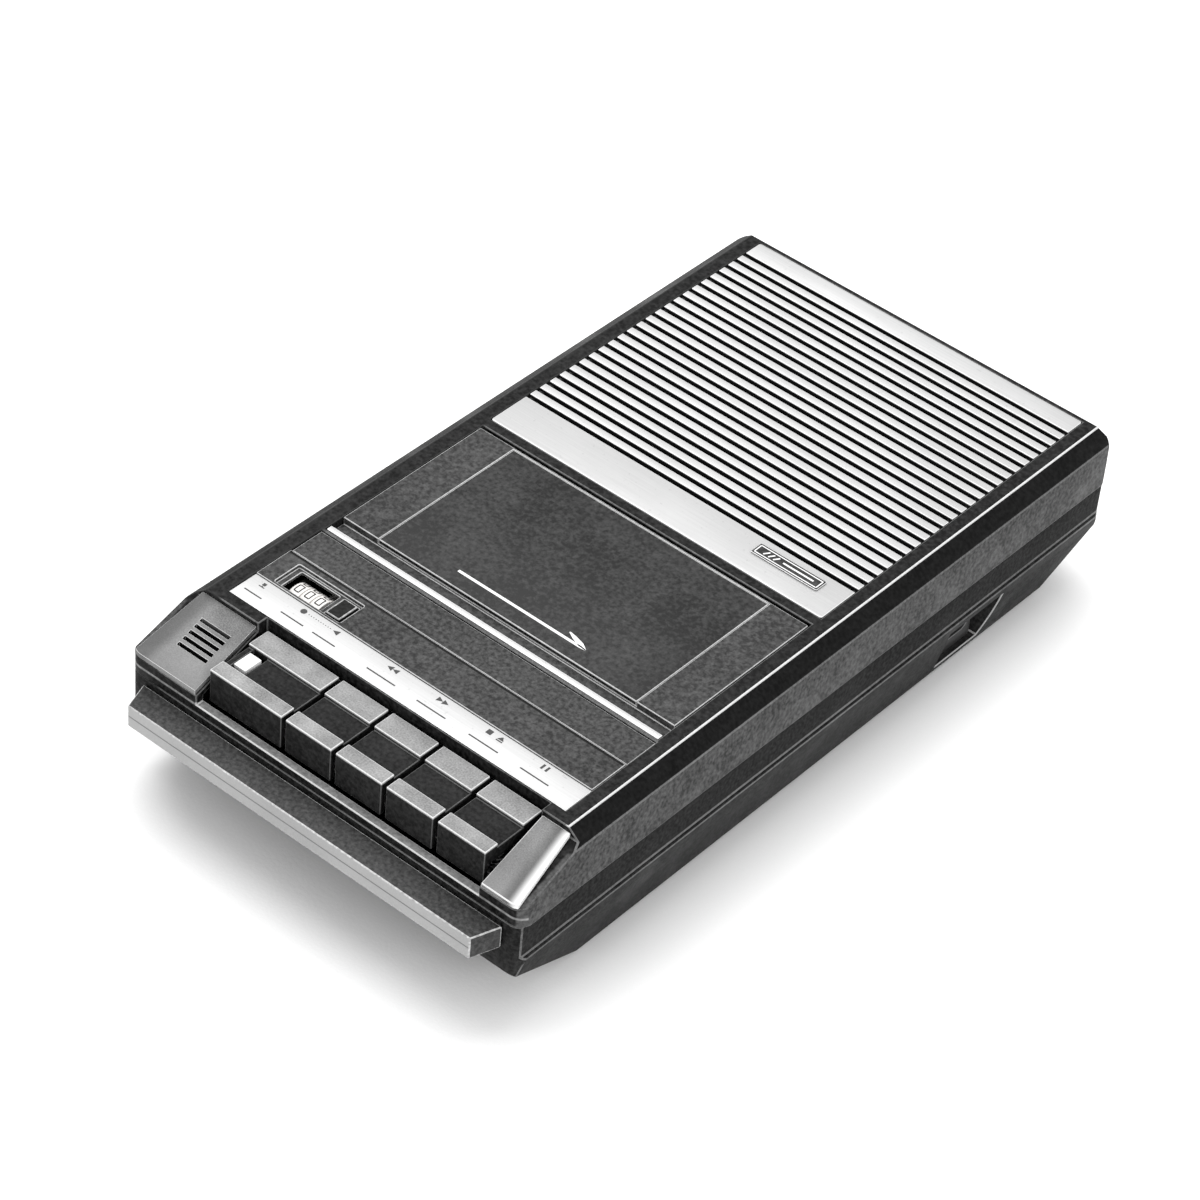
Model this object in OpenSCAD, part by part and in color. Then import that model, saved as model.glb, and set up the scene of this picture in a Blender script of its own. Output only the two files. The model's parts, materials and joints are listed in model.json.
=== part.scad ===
// Slim table cassette recorder with piano keys, a slide-out handle and a built-in speaker.
// X runs across the machine, Y from the keys (negative) to the speaker end, Z up from the table.

/* [Body] */
// Half width of the cabinet at its widest line
half_w = 73; // [73:0.5:75]
// Height of the top face above the table
top_z = 53; // [53:0.5:54]
// Front face of the cabinet (negative Y)
front_y = -128.4; // [-129.4:0.2:-128.4]
// Rear face of the cabinet
rear_y = 138; // [138:0.5:140]
// Wall thickness of the cabinet halves
wall = 2.2; // [2:0.1:2.4]
// Depth of the feet under the cabinet
foot_h = 2; // [1.5:0.5:2]

/* [Grille] */
// Number of slots in the speaker grille
slot_count = 24; // [8:1:24]
// Distance from one slot to the next
slot_pitch = 4.42; // [3.8:0.02:4.42]
// Width of one slot
slot_w = 1.8; // [1:0.1:2]

/* [Keys] */
// Number of narrow keys beside the wide one
narrow_keys = 4; // [1:1:4]
// Width of a narrow key
key_w = 16.8; // [15:0.1:16.9]
// Distance from one narrow key to the next
key_pitch = 18.5; // [18.5:0.1:18.6]
// Width of the record and play key
play_w = 27; // [26:0.5:27]

/* [Handle] */
// How far the handle arms reach into the cabinet
arm_len = 68; // [60:1:68]
// Thickness of the handle bar
bar_h = 7.6; // [7:0.1:7.6]

/* [Hidden] */
$fn = 64;

over = 1;                       // how far a cut runs past a face
fit = 0.05;                     // running clearance of a shaft, on the radius
seam_z = 35;                    // where the two cabinet halves meet
ridge_z = 22.6;                 // the raised line along the lower sides
bevel_z = top_z - 4.2;          // lower edge of the top bevel
rim_x = 66.8;                   // outer edge of the flat top
bevel_x = half_w - 1.2;         // side at the foot of the bevel
band_x = half_w - 1.1;          // recessed band above the ridge
belly_x = 68;                   // half width of the flat bottom
belly_front = -98;              // front end of the flat bottom
belly_rear = 118;               // rear end of the flat bottom
nose_z = 16.8;                  // lower front edge
tail_z = 19.5;                  // lower rear edge
corner_r = 4.5;                 // plan radius of the cabinet corners
skin_z = top_z - 5.1;           // underside of the cabinet's top
step_z = 40.9;                  // front shoulder under the corner caps
shoulder_z = 49.9;              // rear shoulder under the corner caps
cap_t = 1.6;                    // thickness of a corner cap
cap_x = [67.8, 70.8];           // outer edge of the caps, at the rear and at the front
mic_slots = [-62, -50.8, -120.1]; // ends of the sound slots in X, and the first one's Y
mic_pitch = 2.2;
cap_rear = -104.5;              // rear edge of the corner caps

grille_x = 62;
grille_front = 9;
grille_rear = 135;
plate_t = 2.2;                  // grille thickness
groove_t = 1.1;                 // depth of the grooves that run out at both sides of the grille
bay_x = 61.8;                   // half width of the door opening
bay_rear = 5.1;
bay_front = -62;
panel_front = -100.6;
panel_t = 2.4;
well_left = -46.6;              // sides of the key well
well_right = 57.4;
ledge_z = 38;                   // ledge in front of the keys
ledge_y = -125.6;

door_x = 61.5;
door_rear = 3.8;
door_front = -61.5;
door_step = -54.5;              // where the door drops to its front lip
seam_x = 48;                    // edges of the window
hinge_y = 2.2;
hinge_z = top_z - 2.1;
pin_r = 1;

key_top = top_z - 3;
key_front = -124.9;
key_rear = -102.2;
key_back_strip = -109.8;
key_lip = -119.8;
play_left = -45;
narrow_left = -16.4;
shaft_y = -95;
shaft_z = 40;
shaft_r = 1.5;

plate_z = 34;                   // underside of the steel chassis
plate_top = 35.2;
floor_z = 35.5;                 // underside of the cassette well
floor_t = 0.9;
lip_top = top_z - 2.4;          // valley behind the door's bright strip
lip_t = 1.2;
rail_z = 36.7;                  // underside of the cassette rails
reel_x = 21.25;
reel_y = -27.5;
capstan = [29.5, -51.3];
wheel_r = 23.5;                 // flywheel
groove_r = 22.3;
motor_at = [-36, -46];
motor_r = 16;
motor_groove_r = 3;
bridge_z = 38.5;
latch_pins = [-25, 38];         // pins that guide the latch plate
counter_at = [-46.2, -83.3];    // counter's middle
drum_z = 44;
drum_r = 6.2;
drum_w = 3.6;
worm_at = [-47, -72.4];
chassis_holes = [[60.5, -84], [64.2, -18]];  // screws under the chassis, mirrored in X
board_holes = [[-48, 9], [-48, 55], [18, 9], [18, 55]];
cabinet_holes = [[64.5, -50], [64.5, 125]];  // long screws through both halves, mirrored in X
speaker_holes = [[48, 12.5], [48, 88]];
speaker_at = [0, 48];
speaker_r = 38.5;
tray_l = -63;                   // battery compartment
tray_r = 44;
tray_f = 62.6;
tray_b = 117.4;
tray_top = 31.5;
cell_rows = [76.3, 103.7];      // middles of the two rows of cells
inlet_y = [63.5, 89];           // mains recess in the right side
board_z = 9;
wheel_at = [-58.5, 14];         // volume wheel
bar_top = 33;
bar_front = -138;
bar_root = -128.8;
arm_in = 57.6;
arm_out = 65;
cover_l = -64.5;                // battery cover
cover_r = 45.5;
cover_f = 61.4;
cover_b = 117;
cover_pin = 0.8;                // radius of the cover's round hinge edge

black = [0.09, 0.09, 0.095];
grey = [0.25, 0.25, 0.26];
light = [0.62, 0.62, 0.62];
silver = [0.80, 0.80, 0.78];
steel = [0.66, 0.67, 0.70];
brass = [0.76, 0.62, 0.30];

// ---------- shared shapes ----------

// A block given by its six faces.
module block(x0, x1, y0, y1, z0, z1) {
    translate([x0, y0, z0]) cube([x1 - x0, y1 - y0, z1 - z0]);
}

// A rectangle with true round corners.
module round_rect(x0, x1, y0, y1, r) {
    translate([x0 + r, y0]) square([x1 - x0 - 2 * r, y1 - y0]);
    translate([x0, y0 + r]) square([x1 - x0, y1 - y0 - 2 * r]);
    for (x = [x0 + r, x1 - r], y = [y0 + r, y1 - r]) translate([x, y]) circle(r);
}

// A plate with round corners seen from above.
module plate(x0, x1, y0, y1, z0, z1, r) {
    translate([0, 0, z0]) linear_extrude(z1 - z0) round_rect(x0, x1, y0, y1, r);
}

// Upright cylinder.
module post(p, z0, z1, r) {
    translate([p[0], p[1], z0]) cylinder(h = z1 - z0, r = r);
}

// Upright tube.
module tube(p, z0, z1, r, bore) {
    difference() {
        post(p, z0, z1, r);
        post(p, z0 - over, z1 + over, bore);
    }
}

// Rod along X.
module rod_x(x0, x1, y, z, r) {
    translate([x0, y, z]) rotate([0, 90, 0]) cylinder(h = x1 - x0, r = r);
}

// Rod along Y.
module rod_y(x, y0, y1, z, r) {
    translate([x, y1, z]) rotate([90, 0, 0]) cylinder(h = y1 - y0, r = r);
}

// A section drawn in X and Z, run along Y.
module along_y(y0, y1) {
    translate([0, y1, 0]) rotate([90, 0, 0]) linear_extrude(y1 - y0) children();
}

// A section drawn in Y and Z, run along X.
module along_x(x0, x1) {
    translate([x0, 0, 0]) rotate([90, 0, 90]) linear_extrude(x1 - x0) children();
}

// ---------- cabinet ----------

// Plan outline of the cabinet, drawn in by t.
module plan(t, z0, z1) {
    plate(-half_w + t, half_w - t, front_y + t, rear_y - t, z0, z1, corner_r - t);
}

// Outside of the upper half, drawn in by t; its roof stands at roof.
module upper_form(t, roof) {
    drop = top_z - roof;
    intersection() {
        plan(t, seam_z - t, top_z);
        along_y(front_y - over, rear_y + over) polygon([
            [-half_w + t, seam_z - over], [half_w - t, seam_z - over],
            [bevel_x - t, bevel_z - t], [rim_x - t, top_z - drop], [-rim_x + t, top_z - drop],
            [-bevel_x + t, bevel_z - t]]);
        along_x(-half_w - over, half_w + over) polygon([
            [front_y - over, seam_z - over], [rear_y + over, seam_z - over],
            [rear_y - t, top_z - 3 - t], [rear_y - 1.4 - t, top_z - drop], [cap_rear, top_z - drop],
            [cap_rear, shoulder_z - t], [front_y - over, step_z - t]]);
    }
}

// Upper cabinet: top, sides and front in one moulding, open over the bay and the keys.
module upper_cabinet() {
    color(black) difference() {
        upper_form(0, top_z);
        intersection() {
            upper_form(wall, skin_z);
            block(-half_w, half_w, ledge_y, rear_y, 0, top_z);
        }
        block(-half_w, half_w, ledge_y + 1, rear_y - wall, seam_z - over, seam_z + over - 1);
        // seat of the grille and the sound hole under it
        block(-grille_x - 0.15, grille_x + 0.15, grille_front - 0.15, grille_rear + 0.15,
            top_z - plate_t - 0.5, top_z + over);
        post(speaker_at, skin_z - over, top_z, speaker_r - 2.5);
        // door opening
        block(-bay_x, bay_x, bay_front, bay_rear, seam_z - over, top_z + over);
        // hinge pin seats
        for (s = [-1, 1]) rod_x(s * 63.5 - 1.8, s * 63.5 + 1.8, hinge_y, hinge_z, pin_r + 0.02);
        // seat of the front panel with its hole
        block(-grille_x - 0.15, grille_x + 0.15, panel_front + 0.3, bay_front - 0.9,
            top_z - panel_t, top_z + over);
        block(-57, 57, panel_front + 3.2, bay_front - 4, seam_z - over, top_z);
        // key well and the space in front of the keys above the ledge
        block(well_left, well_right, ledge_y, panel_front - 0.2, seam_z - over, top_z + over);
        block(well_left, well_right, front_y - over, ledge_y + over, ledge_z, top_z + over);
        // sound slots over the microphone
        for (i = [0:4])
            block(mic_slots[0] - 0.3, mic_slots[1] + 0.3, mic_slots[2] + mic_pitch * i - 0.7,
                mic_slots[2] + mic_pitch * i + 0.7, 38, top_z);
        // slot for the volume wheel
        block(-half_w - over, -60, wheel_at[1] - 9, wheel_at[1] + 9, seam_z - over, seam_z + 3);
    }
    color(black) for (s = [-1, 1], p = cabinet_holes)
        tube([s * p[0], p[1]], seam_z + 0.2, skin_z + 0.3, 2.9, 1.3);
    color(black) for (s = [-1, 1], p = speaker_holes) tube([s * p[0], p[1]], 41, skin_z + 0.3, 2.4, 0.9);
    color(black) for (s = [-1, 1], p = chassis_holes)
        tube([s * p[0], p[1]], plate_top + 0.05, skin_z + 0.3, 2.2, 0.9);
}

// Outside of the lower half, drawn in by t.
module lower_form(t) {
    intersection() {
        plan(t, foot_h + t, seam_z + t);
        along_y(front_y - over, rear_y + over) polygon([[-belly_x + t, foot_h], [belly_x - t, foot_h],
            [half_w - 0.1 - t, ridge_z], [band_x - t, ridge_z + 1.1], [band_x - t, seam_z + t],
            [-band_x + t, seam_z + t], [-band_x + t, ridge_z + 1.1], [-half_w + 0.1 + t, ridge_z]]);
        along_x(-half_w - over, half_w + over) polygon([[belly_front + t * 0.6, foot_h + t],
            [belly_rear - t * 0.6, foot_h + t], [rear_y - t, tail_z + t * 0.7], [rear_y - t, seam_z + t],
            [front_y + t, seam_z + t], [front_y + t, nose_z + t * 0.7]]);
    }
}

// Lower cabinet: the tray with the battery compartment, the mains recess and the handle guides.
module lower_cabinet() {
    color(black) difference() {
        union() {
            difference() {
                lower_form(0);
                lower_form(wall);
                block(-half_w, half_w, front_y - over, rear_y + over, seam_z - 0.05, seam_z + 5);
                block(cover_l + 1.4, cover_r - 1.4, cover_f + 1.2, cover_b - 1.2, 0, tray_top);
                block(cover_l - 0.15, cover_r + 0.15, cover_f - 0.15, cover_b + 0.15, 0, foot_h + 1.6);
            }
            // walls and roof of the battery compartment
            intersection() {
                lower_form(0);
                difference() {
                    block(
                        tray_l - 1.6, tray_r + 1.6, tray_f - 1.6, tray_b + 1.6,
                        foot_h + 1.7, tray_top + 1.4);
                    block(tray_l, tray_r, tray_f, tray_b, 0, tray_top);
                }
            }
            // box around the mains recess
            intersection() {
                lower_form(0);
                block(50.5, half_w, inlet_y[0] - 1.6, inlet_y[1] + 1.6, foot_h, ridge_z - 2);
            }
            // handle guides
            for (s = [-1, 1]) mirror([s < 0 ? 1 : 0, 0, 0]) {
                block(arm_in - 2, arm_out + 2, front_y + 1, -106.5, 23.4, 25.9);
                block(arm_in - 2.2, arm_in - 0.3, front_y + 1, -106.5, 24, 32.4);
                block(arm_out + 0.3, arm_out + 2.2, front_y + 1, -106.5, 24, 32.4);
            }
            // pillars for the cabinet screws
            for (s = [-1, 1], p = cabinet_holes) intersection() {
                lower_form(0.5);
                post([s * p[0], p[1]], 0, seam_z - 0.1, 3.2);
            }
            // board pillars
            for (p = board_holes) post(p, foot_h + 1, board_z - 0.1, 2.6);
            // cradle under the motor
            tube(motor_at, foot_h + 1, 8, motor_r + 1.6, motor_r + 0.1);
        }
        for (s = [-1, 1], p = cabinet_holes) {
            post([s * p[0], p[1]], -over, seam_z + over, 1.75);
            post([s * p[0], p[1]], -over, 12, 2.6);
        }
        for (p = board_holes) post(p, foot_h + 1.5, board_z + over, 0.95);
        along_x(52.5, half_w + over) intersection() {
            translate([inlet_y[0], foot_h + wall]) square([30, ridge_z - 3.4 - foot_h - wall]);
            translate([62, 20]) circle(27);
        }
        for (s = [-1, 1]) mirror([s < 0 ? 1 : 0, 0, 0])
            block(arm_in - 0.3, arm_out + 0.3, front_y - over, -106, 25.9, 32.4);
        // volume wheel slot and socket holes in the left side
        block(-half_w - over, -62, wheel_at[1] - 9, wheel_at[1] + 9, 29, seam_z + over);
        for (i = [0:2]) rod_x(-half_w - over, -62, 36 + 9.5 * i, 28, 3.1);
    }
}

// Slotted silver panel over the speaker.
module grille() {
    color(silver) difference() {
        plate(-grille_x, grille_x, grille_front, grille_rear, top_z - plate_t, top_z, 0.8);
        for (i = [0:slot_count - 1]) {
            y = grille_front + 16.4 + slot_pitch * i;
            translate([0, 0, top_z - plate_t - over]) linear_extrude(plate_t + 2 * over)
                round_rect(-grille_x + 1.4, grille_x - 1.4, y - slot_w / 2, y + slot_w / 2, 0.6);
            block(-grille_x - over, grille_x + over, y - slot_w / 2, y + slot_w / 2,
                top_z - groove_t, top_z + over);
        }
    }
}

// Black cloth behind the slots.
module speaker_cloth() {
    color(black)
        block(-61, 61, grille_front + 1, grille_rear - 1, top_z - plate_t - 0.45, top_z - plate_t - 0.05);
}

// Fixed panel between the door and the label strip, with the counter's recess.
module front_panel() {
    color(grey) difference() {
        block(-grille_x, grille_x, panel_front + 11.2, bay_front - 1.0, top_z - panel_t + 0.05, top_z);
        block(-grille_x - over, grille_x + over, -75, bay_front, top_z - 0.6, top_z + over);
        block(-grille_x - over, grille_x + over, -75.5, -74.9, top_z - 1.3, top_z + over);
        plate(-56, -31, -88.4, -78.3, top_z - 1.3, top_z + over, 0.6);
        plate(-54.2, -39.4, -87.6, -79.1, top_z - panel_t - over, top_z, 0.5);
        plate(-37.9, -32.1, -87.6, -79.1, top_z - panel_t - over, top_z, 0.5);
    }
}

// Light strip that carries the key symbols.
module label_strip() {
    color(silver)
        block(-grille_x, grille_x, panel_front + 0.4, panel_front + 11.1,
            top_z - panel_t + 0.05, top_z - 0.4);
}

// One corner cap on the sloped shoulder, between two X values.
module cap(x0, x1) {
    intersection() {
        plan(0.05, seam_z, top_z);
        translate([0, 0, seam_z]) linear_extrude(top_z - seam_z) polygon([
            [-cap_x[0], cap_rear], [-cap_x[1], front_y], [cap_x[1], front_y], [cap_x[0], cap_rear]]);
        along_x(x0, x1) polygon([[cap_rear - 0.1, shoulder_z + 0.03], [cap_rear - 0.1, shoulder_z + cap_t],
            [front_y - over, step_z + cap_t], [front_y - over, step_z + 0.03]]);
        along_y(front_y - over, 0) polygon([[-half_w, seam_z], [half_w, seam_z], [bevel_x, bevel_z],
            [rim_x, top_z], [-rim_x, top_z], [-bevel_x, bevel_z]]);
    }
}

// Left corner cap with the microphone slots.
module cap_left() {
    color(light) difference() {
        cap(-half_w, well_left - 0.6);
        for (i = [0:4])
            block(mic_slots[0], mic_slots[1], mic_slots[2] + mic_pitch * i - 0.55,
                mic_slots[2] + mic_pitch * i + 0.55, 38, top_z);
    }
}

// Right corner cap.
module cap_right() {
    color(light) cap(well_right + 0.6, half_w);
}

// Small blank badge on the grille's front strip.
module badge_plate() {
    color(black) plate(30, 54, 16.8, 21.8, top_z + 0.02, top_z + 0.5, 0.5);
}

// ---------- door and cassette bay ----------

// Door frame: side strips, rear rail, hinge barrels and the low front lip.
module door_frame() {
    color(grey) difference() {
        union() {
            block(-door_x, door_x, door_step, door_rear, top_z - 2.4, top_z);
            block(-door_x, door_x, door_front, door_step + 0.1, lip_top - lip_t, lip_top);
            block(-door_x, door_x, door_step, door_step + 1.5, lip_top - lip_t, lip_top);
            for (s = [-1, 1]) rod_x(s * 58 - 3.4, s * 58 + 3.4, hinge_y, hinge_z, 1.9);
        }
        block(-seam_x, seam_x, door_step - over, door_rear - 0.7, top_z - 1.6, top_z + over);
        block(-seam_x + 2, seam_x - 2, door_step + 3, -2.6, lip_top - over, top_z + over);
        for (s = [-1, 1]) rod_x(s * 59 - 4, s * 59 + 4, hinge_y, hinge_z, pin_r + fit);
    }
}

// Smoked window, set flush between the side strips.
module door_window() {
    color([0.06, 0.06, 0.07])
        block(-seam_x + 0.1, seam_x - 0.1, door_step, door_rear - 0.8, top_z - 1.55, top_z);
}

// Bright strip along the door's front lip.
module door_stripe() {
    color(silver) block(-door_x, door_x, door_front, door_front + 2, lip_top + 0.02, top_z - 0.2);
}

// Two short steel pins that the door turns on.
module hinge_pins() {
    color(steel) for (s = [-1, 1]) rod_x(s * 60 - 4.5, s * 60 + 4.5, hinge_y, hinge_z, pin_r);
}

// Coil that lifts the door, on a peg in the bay's left wall, with its two legs.
module door_spring() {
    color(steel) {
        difference() {
            rod_x(-59.8, -56.2, -9, 42.6, 2.6);
            rod_x(-61, -55, -9, 42.6, 1.9);
        }
        rod_y(-59.4, -22, -9, 44.82, 0.25);
        post([-56.6, -11.22], 36.5, 42.6, 0.25);
    }
}

// Two folded side rails that carry the cassette under the door.
module cassette_holder() {
    color(steel) for (s = [-1, 1]) mirror([s < 0 ? 1 : 0, 0, 0]) {
        block(50.6, 51.5, -52.9, -1, rail_z, lip_top - 0.05);
        block(50.6, 51.5, -59.3, -52.9, rail_z, lip_top - lip_t - 0.05);
        block(46.6, 51.5, -59.3, -10, rail_z, rail_z + 0.6);
        block(50.6, 54, -50, -20, lip_top - 0.9, lip_top - 0.05);
    }
}

// Tray under the cassette with holes for the spindles, capstan and locating.
module cassette_well() {
    color(black) difference() {
        block(-53.4, 53.4, bay_front, bay_rear - 1.5, floor_z, skin_z - 0.3);
        block(-52.2, 52.2, bay_front - over, bay_rear - 2.7, floor_z + floor_t, top_z);
        for (s = [-1, 1]) post([s * reel_x, reel_y], 0, top_z, 5.4);
        post(capstan, 0, top_z, 4.7);
    }
}

// ---------- keys ----------

// One piano key: hollow cap with raised ends, and its lever on the shaft.
module piano_key(x0, x1) {
    mid = (x0 + x1) / 2;
    difference() {
        union() {
            block(x0, x1, key_front, key_rear, 44.6, key_top);
            block(x0, x1, key_front, key_front + 1.8, ledge_z + 0.4, key_top);
            block(mid - 2, mid + 2, key_front + 1, shaft_y, 39.2, 45);
            rod_x(mid - 3.5, mid + 3.5, shaft_y, shaft_z, 3.4);
        }
        block(x0 - over, x1 + over, key_lip, key_back_strip, key_top - 1.3, key_top + over);
        block(x0 + 1.4, mid - 2, key_front + 1.8, key_rear - 1.4, 40, key_top - 2.8);
        block(mid + 2, x1 - 1.4, key_front + 1.8, key_rear - 1.4, 40, key_top - 2.8);
        rod_x(x0, x1, shaft_y, shaft_z, shaft_r + fit);
    }
}

// A narrow key by its place in the row.
module narrow_key(i) {
    color(light) piano_key(narrow_left + key_pitch * i, narrow_left + key_pitch * i + key_w);
}

// Wide key for record and play, open at the left for the record button.
module key_play() {
    color(light) difference() {
        piano_key(play_left, play_left + play_w);
        block(play_left + 1.9, play_left + 7.3, key_lip, key_back_strip, 40, key_top + over);
    }
}

module key_rewind() { narrow_key(0); }
module key_forward() { narrow_key(1); }
module key_stop() { narrow_key(2); }
module key_pause() { narrow_key(3); }

// Small record button inside the wide key, on its own lever.
module record_button() {
    x0 = play_left + 2.4;
    color(silver) difference() {
        union() {
            block(x0, x0 + 4.4, key_lip + 1.7, key_back_strip - 1.8, 41.4, key_top - 0.7);
            block(x0 + 0.7, x0 + 3.7, key_lip + 2.2, shaft_y, 39.2, 42.4);
            rod_x(x0 + 0.7, x0 + 3.7, shaft_y, shaft_z, 3.4);
        }
        rod_x(x0, x0 + 6, shaft_y, shaft_z, shaft_r + fit);
    }
}

// Steel rod that every key turns on.
module key_shaft() {
    color(steel) rod_x(-49.6, 60, shaft_y, shaft_z, shaft_r);
}

// Folded bracket that holds the key shaft.
module key_bracket() {
    color(steel) difference() {
        union() {
            block(-49.2, 59.6, shaft_y - 3.6, shaft_y + 3.9, plate_top + 0.05, 36.2);
            for (x = [-49.2, 58.4]) block(x, x + 1.2, shaft_y - 3.6, shaft_y + 3.6, 35.3, 44);
        }
        rod_x(-51, 61, shaft_y, shaft_z, shaft_r + 0.01);
    }
}

// Coil springs that lift the keys.
module key_springs() {
    color(steel) for (i = [0:narrow_keys]) {
        x = i == 0 ? play_left + 19.5 : narrow_left + key_pitch * (i - 1) + 13;
        tube([x, -115], 36.3, key_top - 2.9, 2.1, 1.5);
    }
}

// Sliding plate that holds a pressed key down.
module latch_plate() {
    color(steel) difference() {
        block(-44, 55, -106.6, -100.6, 36.25, 37.0);
        for (x = latch_pins) plate(x - 3, x + 3, -104.6, -102.6, 35, 39, 0.9);
    }
}

// ---------- mechanism ----------

// Steel plate that carries the tape drive.
module chassis() {
    color(steel) difference() {
        union() {
            block(-57, 57, -91, 2, plate_z, plate_top);
            block(-46, 57, -118, -90, plate_z, plate_top);
            for (p = chassis_holes) block(-p[0] - 2.4, p[0] + 2.4, p[1] - 3, p[1] + 3, plate_z, plate_top);
        }
        for (s = [-1, 1]) post([s * reel_x, reel_y], 0, top_z, 2.0 + fit);
        post(capstan, 0, top_z, 3.52);
        post(worm_at, 0, top_z, 1 + fit);
        for (s = [-1, 1], p = chassis_holes) post([s * p[0], p[1]], 0, top_z, 1.2);
        for (s = [-1, 1]) block(s * 16 - 3, s * 16 + 3, -90, -74, 0, top_z);
    }
    // stops that carry the bottom of the key springs and the latch plate
    color(steel) for (x = latch_pins) post([x, -103.6], plate_top - 0.1, 37.3, 0.85);
    color(steel) for (x = [-30, 32], y = [-74])
        block(x - 3, x + 3, y - 5, y + 2, plate_top - 0.1, bridge_z - 0.06);
}

// Sliding plate that brings the heads and the roller to the tape.
module head_bridge() {
    color(steel) difference() {
        union() {
            block(-34, 40, -86, -69.7, bridge_z, bridge_z + 1.2);
            block(-8, 8, -71.2, -70, bridge_z + 1, 47);
        }
        for (x = [-28, 34]) plate(x - 1.4, x + 1.4, -84, -72.5, 0, top_z, 1.3);
    }
}

// Record and play head in the middle, erase head to its left.
module tape_heads() {
    color(steel) {
        difference() {
            block(-6, 6, -69.9, -66.6, bridge_z + 2.2, 47.2);
            block(-0.2, 0.2, -70, -66.8, bridge_z, 39.5);
        }
        intersection() {
            block(-6, 6, -68, -64.4, bridge_z + 2.2, 47.2);
            post([0, -76.4], bridge_z, top_z, 12);
        }
    }
    color(black) block(-17, -10, -71.5, -65, bridge_z + 1.25, 46.6);
}

// Rubber roller on its steel sleeve.
module pinch_roller() {
    color(black) tube([capstan[0], -65.8], 40.6, 47.4, 6.2, 1 + fit);
}

// Arm and pin that carry the roller.
module pinch_arm() {
    color(steel) {
        difference() {
            plate(26.5, 37, -84, -62.8, bridge_z + 1.25, bridge_z + 2, 1.4);
            block(20, 40, -73, -66.9, 0, bridge_z + 1.2);
        }
        post([capstan[0], -65.8], bridge_z + 1.9, 47.6, 1);
        post([33.8, -80.5], bridge_z + 1.9, 43, 1.8);
    }
}

// Flywheel with the capstan shaft in one piece.
module flywheel() {
    color(brass) difference() {
        post(capstan, 19, 27, wheel_r);
        tube(capstan, 23.2, 24.8, wheel_r + over, groove_r);
        tube(capstan, 25, 28, 19, 8);
    }
    color(steel) post(capstan, 17, 47.6, 1);
}

// Bronze bearing of the capstan.
module capstan_bearing() {
    color(brass) tube(capstan, 29, 38, 3.5, 1 + 0.04);
}

// Strap below the flywheel that takes the shaft's end.
module flywheel_bracket() {
    color(steel) difference() {
        union() {
            block(2.6, 56.4, capstan[1] - 5, capstan[1] + 5, 15, 16.2);
            block(2.6, 3.8, capstan[1] - 5, capstan[1] + 5, 15, plate_z - 0.05);
            block(55.2, 56.4, capstan[1] - 5, capstan[1] + 5, 15, plate_z - 0.05);
            post(capstan, 15, 18.4, 3);
        }
        post(capstan, 16.8, 20, 1 + fit);
    }
}

// Flat motor in its cradle.
module motor() {
    color(steel) difference() {
        union() {
            post(motor_at, foot_h + wall + 0.05, 21.6, motor_r);
            post(motor_at, 21, 22.6, 4);
        }
        post(motor_at, 15, 24, 1 + fit);
    }
}

// Motor shaft with its grooved pulley.
module motor_pulley() {
    color(brass) difference() {
        post(motor_at, 22.9, 26, 4.4);
        tube(motor_at, 23.2, 24.8, 6, motor_groove_r);
    }
    color(steel) post(motor_at, 15.4, 26.4, 1);
}

// Flat ring of rubber around two round bodies.
module belt_loop(p, rp, q, rq, z0, z1, t) {
    translate([0, 0, z0]) linear_extrude(z1 - z0) difference() {
        hull() {
            translate(p) circle(rp + t);
            translate(q) circle(rq + t);
        }
        hull() {
            translate(p) circle(rp);
            translate(q) circle(rq);
        }
    }
}

// Drive belt of the flywheel and the thin belt of the counter.
module belts() {
    color(black) {
        belt_loop(motor_at, motor_groove_r + 0.3, capstan, groove_r + 0.3, 23.4, 24.6, 1.1);
        belt_loop([-reel_x, reel_y], 5.3, worm_at, 2.8, 31.1, 31.9, 0.8);
    }
}

// Three-winged reel spindle, its disc under the chassis and a shaft between them.
module spindle(x) {
    at = [x, reel_y];
    post(at, 29.9, 37, 2);
    difference() {
        post(at, 36.4, 44.4, 3.2);
        for (a = [0:120:240]) translate([at[0], at[1], 43.4]) rotate(a)
            translate([2.4, -0.6, 0]) cube([2, 1.2, 2]);
    }
    for (a = [0:120:240]) translate([at[0], at[1], 38]) rotate(a)
        translate([1, -0.7, 0]) cube([3.6, 1.4, 5]);
}

// Supply spindle with the groove for the counter belt.
module supply_spindle() {
    color(light) {
        spindle(-reel_x);
        difference() {
            post([-reel_x, reel_y], 30, 33.4, 11);
            tube([-reel_x, reel_y], 30.8, 32.2, 12, 5);
        }
    }
}

// Take-up spindle with its friction disc.
module takeup_spindle() {
    color(light) {
        spindle(reel_x);
        post([reel_x, reel_y], 30, 33.4, 12.5);
    }
}

// ---------- tape counter ----------

// Frame of the counter with the shaft of its drums.
module counter_frame() {
    color(black) {
        for (x = [-54, -40.6]) block(x, x + 1, -90.8, -76.4, plate_top + 0.05, 48.9);
        block(-54, -39.6, -90.8, -90.1, plate_top + 0.05, 46);
    }
    color(steel) rod_x(-53.4, -40, counter_at[1], drum_z, 1);
}

// One figure drum, counted from the right.
module drum(i) {
    x = -41 - (i + 1) * (drum_w + 0.35);
    difference() {
        rod_x(x, x + drum_w, counter_at[1], drum_z, drum_r);
        rod_x(x - over, x + drum_w + over, counter_at[1], drum_z, 1 + fit);
    }
}

module counter_drum_ones() { color(silver) drum(0); }
module counter_drum_tens() { color(silver) drum(1); }
module counter_drum_hundreds() { color(silver) drum(2); }

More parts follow.
